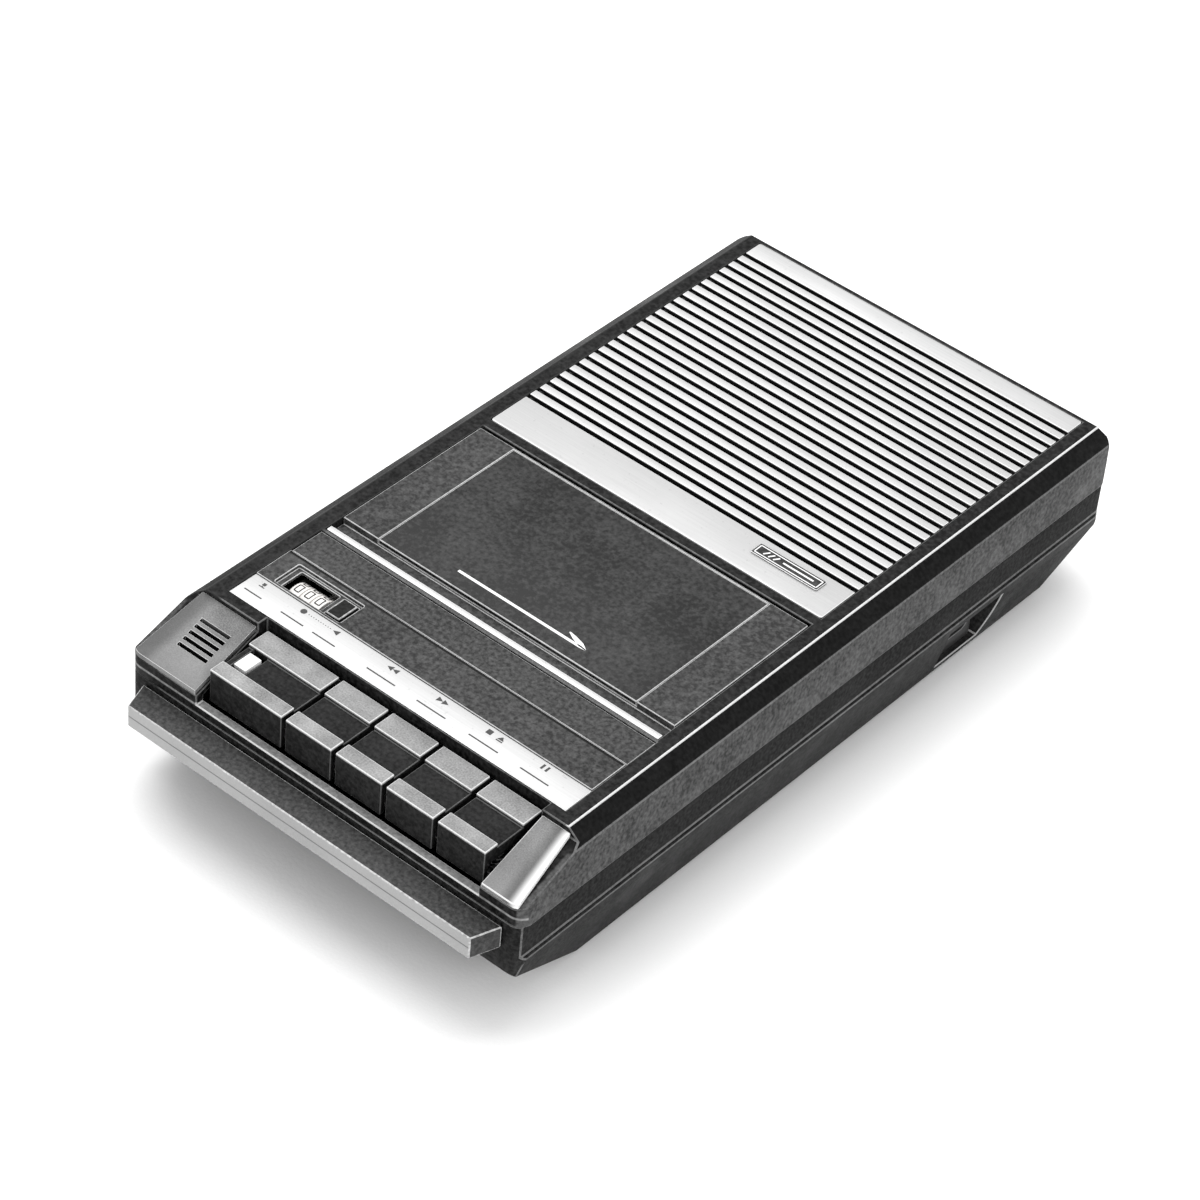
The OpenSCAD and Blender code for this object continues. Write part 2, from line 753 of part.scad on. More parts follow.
// Upright worm with the small pulley that the thin belt turns.
module counter_pulley() {
    color(light) {
        post(worm_at, 30, 43, 1);
        difference() {
            post(worm_at, 30, 33.4, 4);
            tube(worm_at, 30.8, 32.2, 6, 2.5);
        }
        post(worm_at, 37, 42, 2.2);
    }
}

// Button that turns the counter back to zero.
module reset_button() {
    color(black) {
        plate(-37.5, -32.5, -87.2, -79.5, 46, top_z - 0.5, 0.5);
        block(-38.8, -31.2, -86, -80.8, 46, 47.4);
    }
}

// ---------- sound and electrics ----------

// Pressed steel basket of the speaker.
module speaker_frame() {
    at = speaker_at;
    color(steel) difference() {
        union() {
            post(at, skin_z - 1.3, skin_z - 0.1, speaker_r);
            translate([at[0], at[1], 36]) cylinder(h = 11.2, r1 = 17, r2 = speaker_r - 2.2, $fn = 64);
            for (s = [-1, 1], p = speaker_holes) post([s * p[0], p[1]], 39.6, 40.8, 3.6);
            for (s = [-1, 1]) block(s > 0 ? 15 : -48, s > 0 ? 48 : -15, 11, 14, 39.6, 40.8);
            for (s = [-1, 1]) block(s > 0 ? 15 : -48, s > 0 ? 48 : -15, 86.5, 89.5, 39.6, 40.8);
            for (s = [-1, 1]) block(s * 16 - 2, s * 16 + 2, 11, 89.5, 39.6, 40.8);
        }
        translate([at[0], at[1], 36.9]) cylinder(h = 11.3, r1 = 16, r2 = speaker_r - 3.2, $fn = 64);
        post(at, 47, skin_z + over, speaker_r - 3.4);
        post(at, 30, 50, 9);
        for (s = [-1, 1], p = speaker_holes) post([s * p[0], p[1]], 30, 50, 1.2);
    }
}

// Paper cone with its dust cap.
module speaker_cone() {
    at = speaker_at;
    color([0.14, 0.13, 0.12]) {
        difference() {
            translate([at[0], at[1], 38.4]) cylinder(h = 8.6, r1 = 11, r2 = speaker_r - 6, $fn = 64);
            translate([at[0], at[1], 39]) cylinder(h = 8.7, r1 = 10.6, r2 = speaker_r - 6.6, $fn = 64);
        }
        post(at, 38.4, 39.6, 8.6);
        tube(at, 36.2, 38.6, 8.2, 7.6);
    }
}

// Magnet and yoke behind the basket.
module speaker_magnet() {
    color(grey) {
        tube(speaker_at, 29.2, 35.9, 12.4, 8.8);
        post(speaker_at, 27.6, 29.3, 11.4);
        post(speaker_at, 29, 37.6, 7);
    }
}

// Printed circuit board on four pillars.
module circuit_board() {
    color([0.55, 0.38, 0.17]) difference() {
        block(-63, 21, 6, 58, board_z, board_z + 1.6);
        for (p = board_holes) post(p, 0, 20, 1.2);
    }
}

// Parts that stand on the board.
module board_parts() {
    z = board_z + 1.65;
    color([0.12, 0.16, 0.30]) for (i = [0:4]) post([-24 + 9 * i, 16], z, z + 11, 3);
    color([0.12, 0.16, 0.30]) for (i = [0:1]) post([-8 + 17 * i, 48], z, z + 14, 5);
    color(black) for (i = [0:1]) block(-22 + 20 * i, -12 + 20 * i, 27, 33, z, z + 3.4);
    color(brass) for (i = [0:5]) rod_y(-30 + 3.4 * i, 36, 42, z + 1.2, 1.1);
    color(steel) block(-46, -36, 14, 26, z, z + 9);
}

// Mains transformer: laminated core and winding.
module transformer() {
    color(steel) difference() {
        block(30, 58, 22, 50, 5, 29);
        block(35, 53, 21, 51, 9.6, 24.4);
    }
    color([0.55, 0.38, 0.17]) block(35.1, 52.9, 17, 55, 9.7, 24.3);
}

// Thumb wheel for the volume, edge out of the left side.
module volume_wheel() {
    color(black) difference() {
        post(wheel_at, 30, 33.4, 13.4);
        for (a = [100:8:260]) translate(wheel_at) rotate(a)
            translate([13.4, 0, 29]) cylinder(h = 6, r = 0.5, $fn = 16);
        post(wheel_at, 29, 35, 1.5 + fit);
    }
}

// Row of three sockets with their common block, and the wheel's pivot.
module jack_sockets() {
    color(black) for (i = [0:2]) difference() {
        union() {
            block(-66.5, -54.6, 32 + 9.5 * i, 40 + 9.5 * i, 24, 32);
            rod_x(-69.6, -66, 36 + 9.5 * i, 28, 2.9);
        }
        rod_x(-72, -58, 36 + 9.5 * i, 28, 1.8);
    }
    color(steel) for (i = [0:2]) block(-62, -60, 34 + 9.5 * i, 38 + 9.5 * i, board_z + 1.65, 24);
    color(steel) {
        post(wheel_at, 24, 34, 1.5);
        block(-62, -55, wheel_at[1] - 2.4, wheel_at[1] + 4, board_z + 1.65, 24.1);
    }
}

// Microphone capsule in its rubber sleeve under the left cap.
module mic_capsule() {
    color(grey) post([-59, -116], 34.6, 39.6, 4.6);
}

// Two-pin mains socket in the recess.
module ac_inlet() {
    y = inlet_y[0] + 11;
    color(black) difference() {
        block(52.7, 66.4, y - 8.6, y + 8.2, foot_h + wall + 0.1, ridge_z - 4);
        along_x(56, 80) union() {
            translate([y - 3.3, 12]) circle(3.6);
            translate([y + 3.3, 12]) circle(3.6);
            translate([y - 3.3, 8.4]) square([6.6, 7.2]);
        }
    }
    color(steel) for (s = [-1, 1]) rod_x(55.9, 65.4, y + 3.3 * s, 12, 1.15);
}

// Cover of the battery compartment, with a round hinge edge and a ribbed finger grip.
module battery_cover() {
    color(black) difference() {
        union() {
            rod_x(cover_l, cover_r, cover_f + cover_pin, foot_h + cover_pin, cover_pin);
            block(cover_l, cover_r, cover_f + cover_pin, cover_b, foot_h, foot_h + 1.5);
            block(cover_l + 2, cover_r - 2, cover_f + 2, cover_b - 2, foot_h + 1.4, foot_h + 2.4);
        }
        for (i = [0:5])
            block(-20, 1, cover_b - 18 + 2.4 * i, cover_b - 17 + 2.4 * i, foot_h - over, foot_h + 0.6);
    }
}

// Flat contacts and coil springs at the two ends of the battery rows.
module battery_contacts() {
    color(steel) {
        for (y = cell_rows) {
            block(tray_l + 0.05, tray_l + 0.6, y - 8, y + 8, 8, 26);
            block(tray_r - 0.6, tray_r - 0.05, y - 8, y + 8, 8, 26);
        }
        difference() {
            rod_x(tray_l + 0.5, tray_l + 5, cell_rows[0], 17, 5);
            rod_x(tray_l + 0.7, tray_l + 6, cell_rows[0], 17, 4.2);
        }
        difference() {
            rod_x(tray_r - 5, tray_r - 0.5, cell_rows[1], 17, 5);
            rod_x(tray_r - 6, tray_r - 0.7, cell_rows[1], 17, 4.2);
        }
    }
}

// Slide-out handle: tapered bar and two flat arms with stop lugs.
module handle() {
    arm_end = front_y + arm_len;
    color(grey) {
        translate([0, 0, bar_top - bar_h]) linear_extrude(bar_h) polygon([
            [-63.5, bar_front], [63.5, bar_front],
            [66.6, bar_root], [-66.6, bar_root]]);
        for (s = [-1, 1]) mirror([s < 0 ? 1 : 0, 0, 0]) {
            block(arm_in, arm_out, bar_root - 0.1, arm_end, 26.4, 31.9);
            block(arm_in - 3.6, arm_in + 0.1, arm_end - 4, arm_end, 26.4, 30);
        }
    }
}

// Four rubber feet.
module feet() {
    color(black) for (x = [-54, 54], y = [-86, 52]) post([x, y], 0, foot_h, 5.5);
}

// One screw: shank from the seat under its head to its tip; up is 1 for a head on top.
module screw(p, seat, tip, r, up) {
    post(p, min(seat, tip), max(seat, tip), r);
    post(p, up > 0 ? seat : seat - 1.5, up > 0 ? seat + 1.5 : seat, 2 * r);
}

// Cabinet screws, chassis screws, speaker screws and board screws.
module screws() {
    color(steel) {
        for (s = [-1, 1], p = cabinet_holes) screw([s * p[0], p[1]], 11.95, 42, 1.2, -1);
        for (s = [-1, 1], p = chassis_holes) screw([s * p[0], p[1]], plate_z - 0.05, 41, 0.85, -1);
        for (s = [-1, 1], p = speaker_holes) screw([s * p[0], p[1]], 39.55, 46, 0.85, -1);
        for (p = board_holes) screw(p, board_z + 1.65, 5, 0.85, 1);
    }
}

upper_cabinet();
lower_cabinet();
grille();
speaker_cloth();
front_panel();
label_strip();
cap_left();
cap_right();
badge_plate();
door_frame();
door_window();
door_stripe();
hinge_pins();
door_spring();
cassette_holder();
cassette_well();
key_play();
key_rewind();
key_forward();
key_stop();
key_pause();
record_button();
key_shaft();
key_bracket();
key_springs();
latch_plate();
chassis();
head_bridge();
tape_heads();
pinch_roller();
pinch_arm();
flywheel();
capstan_bearing();
flywheel_bracket();
motor();
motor_pulley();
belts();
supply_spindle();
takeup_spindle();
counter_frame();
counter_drum_ones();
counter_drum_tens();
counter_drum_hundreds();
counter_pulley();
reset_button();
speaker_frame();
speaker_cone();
speaker_magnet();
circuit_board();
board_parts();
transformer();
volume_wheel();
jack_sockets();
mic_capsule();
ac_inlet();
battery_cover();
battery_contacts();
handle();
feet();
screws();
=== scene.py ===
import json
import math

import bmesh
import bpy
import numpy as np
from mathutils import Matrix, Vector


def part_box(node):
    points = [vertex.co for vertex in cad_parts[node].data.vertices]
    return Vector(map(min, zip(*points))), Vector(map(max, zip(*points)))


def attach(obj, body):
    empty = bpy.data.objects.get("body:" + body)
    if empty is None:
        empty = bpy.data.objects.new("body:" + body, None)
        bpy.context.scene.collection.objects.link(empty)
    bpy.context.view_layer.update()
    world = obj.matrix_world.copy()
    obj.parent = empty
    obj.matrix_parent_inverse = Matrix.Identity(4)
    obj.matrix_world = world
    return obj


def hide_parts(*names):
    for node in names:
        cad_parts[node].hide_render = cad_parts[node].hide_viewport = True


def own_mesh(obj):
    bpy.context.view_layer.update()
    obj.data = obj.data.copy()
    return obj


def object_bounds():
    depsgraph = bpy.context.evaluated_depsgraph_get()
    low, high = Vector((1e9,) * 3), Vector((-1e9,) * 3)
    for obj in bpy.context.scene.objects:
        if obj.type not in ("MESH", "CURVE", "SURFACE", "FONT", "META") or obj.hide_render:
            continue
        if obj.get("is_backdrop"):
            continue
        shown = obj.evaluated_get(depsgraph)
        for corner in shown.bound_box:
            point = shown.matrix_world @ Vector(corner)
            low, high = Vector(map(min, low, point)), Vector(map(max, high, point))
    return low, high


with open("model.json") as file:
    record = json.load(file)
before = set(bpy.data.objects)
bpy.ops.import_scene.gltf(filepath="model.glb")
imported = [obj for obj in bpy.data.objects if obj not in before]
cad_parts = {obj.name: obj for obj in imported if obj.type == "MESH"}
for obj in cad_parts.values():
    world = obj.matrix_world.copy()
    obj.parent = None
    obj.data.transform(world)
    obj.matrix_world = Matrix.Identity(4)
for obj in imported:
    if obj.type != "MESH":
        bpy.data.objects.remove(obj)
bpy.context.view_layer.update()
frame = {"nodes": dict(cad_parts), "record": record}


# Camera: a long lens a little over a metre away, looking down on the keys from the right front corner,
# and turned slightly about its own axis as a hand-held camera is. Angles are in radians.
azimuth, elevation, roll = 0.646867, 0.712110, 0.0962286
aim = Vector((0.01336, -0.02958, 0.053))
distance = 1.15733
back = Vector((
    math.sin(azimuth) * math.cos(elevation),
    -math.cos(azimuth) * math.cos(elevation),
    math.sin(elevation),
))
level = Vector((0, 0, 1)).cross(back).normalized()
upright = back.cross(level)
right = math.cos(roll) * level + math.sin(roll) * upright
top = math.cos(roll) * upright - math.sin(roll) * level
camera = bpy.data.objects.new("camera", bpy.data.cameras.new("camera"))
camera.data.lens = 124.2
camera.data.sensor_width = 36
camera.data.clip_end = 50
facing = Matrix((right, top, back)).transposed().to_4x4()
camera.matrix_world = Matrix.Translation(aim + distance * back) @ facing
bpy.context.scene.collection.objects.link(camera)
bpy.context.scene.camera = camera


# Studio: a white sweep of paper under the recorder, a broad soft light overhead towards the speaker end,
# a long strip to its right for the sides, and pale walls all round.
class Wire:
    """A value that travels between shader nodes. Arithmetic on it adds the Math node that does it."""

    def __init__(self, paint, socket):
        self.paint = paint
        self.socket = socket

    def sum_of(self, operation, *terms):
        return self.paint.add("ShaderNodeMath", {"operation": operation}, dict(enumerate(terms)))

    def __add__(self, other):
        return self.sum_of("ADD", self, other)

    def __radd__(self, other):
        return self.sum_of("ADD", other, self)

    def __sub__(self, other):
        return self.sum_of("SUBTRACT", self, other)

    def __rsub__(self, other):
        return self.sum_of("SUBTRACT", other, self)

    def __mul__(self, other):
        return self.sum_of("MULTIPLY", self, other)

    def __rmul__(self, other):
        return self.sum_of("MULTIPLY", other, self)

    def __abs__(self):
        return self.sum_of("ABSOLUTE", self)

    def smooth(self, start, end):
        """0 at start and 1 at end, with a smooth step between; start may be the larger."""
        return self.paint.add(
            "ShaderNodeMapRange",
            {"interpolation_type": "SMOOTHSTEP"},
            {"Value": self, "From Min": start, "From Max": end},
        )

    def between(self, low, high, blur):
        """1 between low and high and 0 outside them, with a smooth step of width blur inside each."""
        return self.smooth(low, low + blur) * self.smooth(high, high - blur)


class Paint:
    """A material. add() makes a node from its type, its settings and its sockets' values or wires."""

    def __init__(self, name):
        self.material = bpy.data.materials.new(name)
        self.material.use_nodes = True
        self.tree = self.material.node_tree
        self.tree.nodes.clear()
        self.place = self.add("ShaderNodeTexCoord", out="Object")

    def add(self, kind, settings=None, values=None, out=0):
        node = self.tree.nodes.new(kind)
        for name, setting in (settings or {}).items():
            setattr(node, name, setting)
        for name, value in (values or {}).items():
            if isinstance(value, Wire):
                self.tree.links.new(value.socket, node.inputs[name])
            else:
                node.inputs[name].default_value = value
        return Wire(self, node.outputs[out]) if len(node.outputs) else None

    def axis(self, letter):
        """One coordinate of the place, in metres."""
        return self.add("ShaderNodeSeparateXYZ", values={"Vector": self.place}, out=letter)

    def stretched(self, stretch, turn=(0, 0, 0), centre=(0, 0, 0)):
        """The place moved to centre, turned and stretched, so that a pattern runs along the piece."""
        moved = self.add(
            "ShaderNodeVectorMath", {"operation": "SUBTRACT"}, {0: self.place, 1: centre}
        )
        return self.add(
            "ShaderNodeMapping", values={"Vector": moved, "Rotation": turn, "Scale": stretch}
        )

    def noise(self, scale, detail=2, at=None):
        """Cloudy noise from 0 to 1, with scale clouds to the metre."""
        return self.add(
            "ShaderNodeTexNoise",
            values={"Vector": at or self.place, "Scale": scale, "Detail": detail},
        )

    def mix(self, share, first, second):
        return self.add(
            "ShaderNodeMix", {"data_type": "RGBA"}, {0: share, 6: first, 7: second}, out=2
        )

    def surface(self, colour, rough, height=None, depth=0.0001, **fixed):
        """The finished surface. height is carved to depth metres; fixed is for the shader's sockets."""
        values = {"Base Color": colour, "Roughness": rough}
        if height is not None:
            values["Normal"] = self.add(
                "ShaderNodeBump", values={"Strength": 1, "Distance": depth, "Height": height}
            )
        values.update({name.replace("_", " "): value for name, value in fixed.items()})
        shader = self.add("ShaderNodeBsdfPrincipled", values=values)
        self.add("ShaderNodeOutputMaterial", values={"Surface": shader})
        return self.material


def tone(grey, warmth=0.0):
    """A grey of the given brightness, warmer as warmth rises."""
    return (grey * (1 + warmth), grey, grey * (1 - warmth), 1)


paper = Paint("paper_sweep")
paper_fibre = paper.noise(900, 4)
paper_cloud = paper.noise(3)
reach = 4
paper.surface(
    paper.mix(0.6 * paper_fibre + 0.4 * paper_cloud, tone(0.9), tone(0.94)),
    0.7 + 0.2 * paper_fibre,
    paper_fibre,
    0.00005,
)
sweep = bpy.data.meshes.new("floor")
corners = [(-reach, -reach, 0), (reach, -reach, 0), (reach, reach, 0), (-reach, reach, 0)]
sweep.from_pydata(corners, [], [(0, 1, 2, 3)])
sweep.materials.append(paper.material)
floor = bpy.data.objects.new("floor", sweep)
bpy.context.scene.collection.objects.link(floor)
floor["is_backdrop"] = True


def soft_light(name, place, look_at, size, power):
    """A rectangular light of size metres at place, turned to look_at."""
    light = bpy.data.objects.new(name, bpy.data.lights.new(name, "AREA"))
    light.data.shape = "RECTANGLE"
    light.data.size, light.data.size_y = size
    light.data.energy = power
    light.location = place
    beam = Vector(look_at) - Vector(place)
    light.rotation_euler = beam.to_track_quat("-Z", "Y").to_euler()
    bpy.context.scene.collection.objects.link(light)


soft_light("overhead", (-0.45, 0.35, 1.35), (0, 0, 0), (1.6, 1.2), 23)
soft_light("right_strip", (1.3, -0.2, 0.75), (0, 0, 0.03), (1.2, 0.5), 6)
soft_light("front_fill", (-0.5, -1.5, 0.8), (0, 0, 0), (1.2, 0.8), 5)
world = bpy.data.worlds.new("walls")
world.use_nodes = True
walls = world.node_tree.nodes["Background"].inputs
walls["Color"].default_value = (1, 1, 1, 1)
walls["Strength"].default_value = 0.82
bpy.context.scene.world = world
bpy.context.scene.view_settings.view_transform = "Standard"


# Cabinet: an upper and a lower half moulded in black styrene, spark-eroded to a fine grain. The edges
# are rounded by the mould; their paler colour is partly wear and partly painted highlight.
mm = 0.001
bodies = frame["record"]["behaviour"]["bodies"]
home = {node: body for body, nodes in bodies.items() for node in nodes}


def rounded(node, radius, face, edge=None, steps=2, angle=34):
    """The CAD solid with its triangles joined, its flat faces made whole and its edges rounded.

    Each edge that turns by more than angle degrees becomes an arc of radius, in steps facets that
    have the edge's material.
    """
    mesh = frame["nodes"][node].data.copy()
    mesh.name = node + "_shell"
    solid = bmesh.new()
    solid.from_mesh(mesh)
    bmesh.ops.remove_doubles(solid, verts=solid.verts, dist=2e-6)
    flat = math.radians(0.6)
    bmesh.ops.dissolve_limit(solid, angle_limit=flat, verts=solid.verts, edges=solid.edges)
    solid.to_mesh(mesh)
    solid.free()
    mesh.materials.clear()
    mesh.materials.append(face)
    mesh.materials.append(edge or face)
    mesh.shade_smooth()
    piece = bpy.data.objects.new(node + "_finished", mesh)
    bpy.context.scene.collection.objects.link(piece)
    bevel = piece.modifiers.new("rounded_edges", "BEVEL")
    bevel.width = radius
    bevel.segments = steps
    bevel.limit_method = "ANGLE"
    bevel.angle_limit = math.radians(angle)
    bevel.use_clamp_overlap = False
    bevel.material = 1 if edge else -1
    bevel.harden_normals = True
    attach(piece, home[node])
    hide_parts(node)
    return piece


def grained(name, dark, pale, rough=0.55, spots=2.6):
    """Spark-eroded styrene. The tone goes from dark to pale with the grain, with slow clouds, with hair
    scratches and with a mottle of strength spots; greasy patches are smoother. Gives the paint, the
    grain, the colour and the roughness."""
    paint = Paint(name)
    fine = paint.noise(1900, 3)
    cloud = paint.noise(22, 3)
    grease = paint.noise(60, 2).smooth(0.45, 0.75)
    scratch = paint.noise(1, 4, paint.stretched((260, 5200, 260), (0, 0, 0.35))).smooth(0.72, 0.78)
    mottle = paint.noise(820, 4)
    share = spots * (mottle - 0.5) + 0.8 * fine + 0.7 * cloud + 0.3 * scratch - 0.35
    colour = paint.mix(share, tone(dark), tone(pale))
    return paint, fine, colour, rough + 0.12 * fine - 0.14 * grease + 0.1 * scratch


def plain_grained(name, dark, pale, rough=0.55, depth=0.00007, shine=0.12, spots=2.6):
    """Spark-eroded styrene of one tone all over, its grain carved to depth."""
    paint, fine, colour, roughness = grained(name, dark, pale, rough, spots)
    return paint.surface(colour, roughness, fine, depth, Specular_IOR_Level=shine)


side_top, seam_level, ridge_level = 48.8 * mm, 35 * mm, 22.6 * mm
paint, fine, colour, roughness = grained("cabinet_styrene", 0.002, 0.024)
from_middle, along, height = abs(paint.axis("X")), paint.axis("Y"), paint.axis("Z")
mottle = 2.6 * paint.noise(820, 4) + 0.8 * paint.noise(120, 2) - 1.25
# Painted light and shade: the side bands of the upper half are painted lighter as lit faces, all below
# the ridge darker as shade, the front ledge pale as a highlight, and the top bevel of the sides near
# black as shade.
lit_side_band = from_middle.smooth(0.0700, 0.0708) * height.smooth(seam_level - 0.0001, seam_level)
lit_side_band = lit_side_band * height.smooth(side_top, side_top - 0.0006)
shade_below_ridge = height.smooth(ridge_level, ridge_level - 0.0004)
ledge = along.smooth(-0.1255, -0.1257) * height.smooth(0.0374, 0.0379)
ledge = ledge * height.smooth(0.0386, 0.0382)
bevel = from_middle.smooth(0.0669, 0.0672) * height.smooth(side_top, side_top + 0.0005)
rear_bar = along.between(0.0050, 0.0089, 0.0002) * height.smooth(0.0530, 0.0533)
rear_bar = rear_bar * from_middle.smooth(0.0622, 0.0620)
light_line = abs(along - 0.0070).smooth(0.0004, 0.0002)
for area, dark, pale in (
    (lit_side_band, 0.034, 0.105),
    (shade_below_ridge, 0.008, 0.036),
    (ledge, 0.16, 0.3),
    (bevel, 0.001, 0.008),
):
    colour = paint.mix(area, colour, paint.mix(mottle, tone(dark), tone(pale)))
colour = paint.mix(rear_bar, colour, paint.mix(light_line, tone(0.002), tone(0.2)))
cabinet_face = paint.surface(colour, roughness, fine, 0.00007, Specular_IOR_Level=0.09)
# The edge material is paler than the face, partly wear and partly painted highlight; a brighter painted
# highlight runs along the right rim and the front ledge's edge, and the left side's edges are painted
# dark as shade.
paint, fine, colour, roughness = grained("cabinet_worn_edge_and_highlight", 0.03, 0.24, 0.4, 0.5)
across, along, height = (paint.axis(letter) for letter in "XYZ")
rim_highlight = across.smooth(0.0655, 0.0665) * height.smooth(0.0525, 0.0530)
ledge_edge_highlight = along.smooth(-0.1240, -0.1250) * abs(height - 0.0380).smooth(0.0009, 0.0006)
far_side_shade = across.smooth(-0.0600, -0.0625)
inlet_rim = across.smooth(0.0500, 0.0510) * height.smooth(0.0222, 0.0220)
inlet_rim = inlet_rim * abs(along - 0.0763).smooth(0.0145, 0.0140)
colour = paint.mix(rim_highlight + ledge_edge_highlight, colour, paint.mix(fine, tone(0.38), tone(0.75)))
colour = paint.mix(far_side_shade, colour, tone(0.02))
colour = paint.mix(inlet_rim, colour, tone(0.4))
cabinet_edge = paint.surface(colour, roughness, fine, 0.00003, Specular_IOR_Level=0.12)
rounded("upper_cabinet", 0.35 * mm, cabinet_face, cabinet_edge)
rounded("lower_cabinet", 0.35 * mm, cabinet_face, cabinet_edge)


# Speaker panel: pressed sheet, lacquered silver and brushed along its length, slotted over the speaker
# and glued into a seat in the cabinet. Its slots are cut right through.
def lacquered(name, dark, pale, rough=0.34, above=None):
    """Silver lacquer over brushed sheet: streaks along X, cloudy tarnish, and specks where it has worn.
    Where above is given, what lies lower than that height is left black."""
    paint = Paint(name)
    streak = paint.noise(1, 3, paint.stretched((40, 2600, 2600)))
    cloud = paint.noise(34, 4)
    speck = paint.noise(900, 2).smooth(0.66, 0.74)
    colour = paint.mix(0.5 * streak + 0.5 * cloud, tone(pale), tone(dark))
    colour = paint.mix(0.3 * speck, colour, tone(0.25))
    sheen = 0.3
    if above is not None:
        painted = paint.axis("Z").smooth(above, above + 0.0001)
        colour = paint.mix(painted, tone(0.006), colour)
        sheen = sheen * painted
    rough = rough + 0.15 * streak + 0.1 * cloud
    return paint.surface(colour, rough, streak, 0.00002, Metallic=sheen, Specular_IOR_Level=0.3)


silver_face = lacquered("silver_lacquer", 0.39, 0.6)
# The edge copy is painted paler than the face, a painted highlight along the rounded edges.
silver_edge = lacquered("silver_lacquer_edge", 0.75, 0.92, rough=0.26)
lacquer_depth = 0.35 * mm
lacquer_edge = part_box("grille")[1].z - lacquer_depth
# The grille's edge copy is likewise painted paler, a painted highlight.
rounded(
    "grille",
    0.18 * mm,
    lacquered("grille_lacquer", 0.33, 0.53, above=lacquer_edge),
    lacquered("grille_lacquer_edge", 0.6, 0.85, rough=0.26, above=lacquer_edge),
)


# Speaker cloth: black open-weave rayon glued to the back of the speaker panel and stretched flat.
def grid_faces(rows, columns, round_rows=False, round_columns=False):
    """Quads between neighbouring points of a grid; a round way joins its last line to its first."""
    row = np.arange(rows if round_rows else rows - 1)[:, None]
    column = np.arange(columns if round_columns else columns - 1)[None, :]
    next_row, next_column = (row + 1) % rows, (column + 1) % columns
    corners = [
        row * columns + column,
        row * columns + next_column,
        next_row * columns + next_column,
        next_row * columns + column,
    ]
    return np.stack(corners, -1).reshape(-1, 4).tolist()


def new_piece(name, shape, material, node, replaces=(), smooth=True, outward=True):
    """A piece from its points in metres and its faces, on node's body and in the material given; the
    nodes it replaces are hidden.
    """
    points, faces = shape
    mesh = bpy.data.meshes.new(name)
    mesh.from_pydata(points.tolist(), [], faces)
    if outward:
        shell = bmesh.new()
        shell.from_mesh(mesh)
        bmesh.ops.recalc_face_normals(shell, faces=shell.faces)
        shell.to_mesh(mesh)
        shell.free()
    if smooth:
        mesh.shade_smooth()
    mesh.materials.append(material)
    piece = bpy.data.objects.new(name, mesh)
    bpy.context.scene.collection.objects.link(piece)
    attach(piece, home[node])
    if replaces:
        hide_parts(*replaces)
    return piece


cloth_low, cloth_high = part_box("speaker_cloth")
rows, columns = 160, 160
y, x = np.meshgrid(
    np.linspace(cloth_low.y, cloth_high.y, rows),
    np.linspace(cloth_low.x, cloth_high.x, columns),
    indexing="ij",
)
share = (y - cloth_low.y) / (cloth_high.y - cloth_low.y)
sag = 0.08 * mm * (1 - (x / cloth_high.x) ** 2) * np.sin(np.pi * share)
middle = cloth_high.z - 0.22 * mm
paint = Paint("speaker_cloth_weave")
threads = [
    paint.add(
        "ShaderNodeTexWave",
        {"wave_type": "BANDS", "bands_direction": way},
        {"Vector": paint.place, "Scale": 320, "Distortion": 0.6, "Detail": 1},
    )
    for way in ("X", "Y")
]
weave = threads[0] * threads[1]
fuzz = paint.noise(3000)
cloth_tone = paint.mix(weave * 0.7 + fuzz * 0.3, tone(0.004), tone(0.02))
cloth = new_piece(
    "speaker_cloth_weave",
    (np.stack([x, y, middle - sag], -1).reshape(-1, 3), grid_faces(rows, columns)),
    paint.surface(cloth_tone, 0.85 + 0.1 * fuzz, weave, 0.0001),
    "speaker_cloth",
    ["speaker_cloth"],
    outward=False,
)
thickness = cloth.modifiers.new("thickness", "SOLIDIFY")
thickness.thickness = 0.2 * mm
thickness.offset = 0


# Front panel, label strip and badge: the dark satin panel carries the counter's recess, the silver strip
# in front of it the key signs, and the blank badge is stuck to the front strip of the speaker panel.
paint, fine, colour, roughness = grained("panel_satin", 0.018, 0.078, 0.5)
# A painted shadow darkens the band beside the groove.
shade_beside_groove = paint.axis("Y").between(-0.0767, -0.0753, 0.0002)
colour = paint.mix(shade_beside_groove, colour, tone(0.003))
panel_face = paint.surface(colour, roughness, fine, 0.00004, Specular_IOR_Level=0.12)
# The edge material is painted pale, a painted highlight along the rounded edges; the door's frame and
# window edges use it too.
panel_edge = plain_grained("panel_satin_edge", 0.26, 0.7, rough=0.35, depth=0.00002, spots=0.5)
rounded("front_panel", 0.22 * mm, panel_face, panel_edge)
rounded("label_strip", 0.15 * mm, silver_face, silver_edge)
badge_face = plain_grained("badge_enamel", 0.02, 0.05, rough=0.3)
rounded("badge_plate", 0.12 * mm, badge_face, silver_edge)


def capped_tube(stations, around):
    """Faces of a closed tube of stations rings with around points each, and a cap over each end."""
    last = (stations - 1) * around
    caps = [list(range(around)), [last + i for i in reversed(range(around))]]
    return grid_faces(stations, around, round_columns=True) + caps


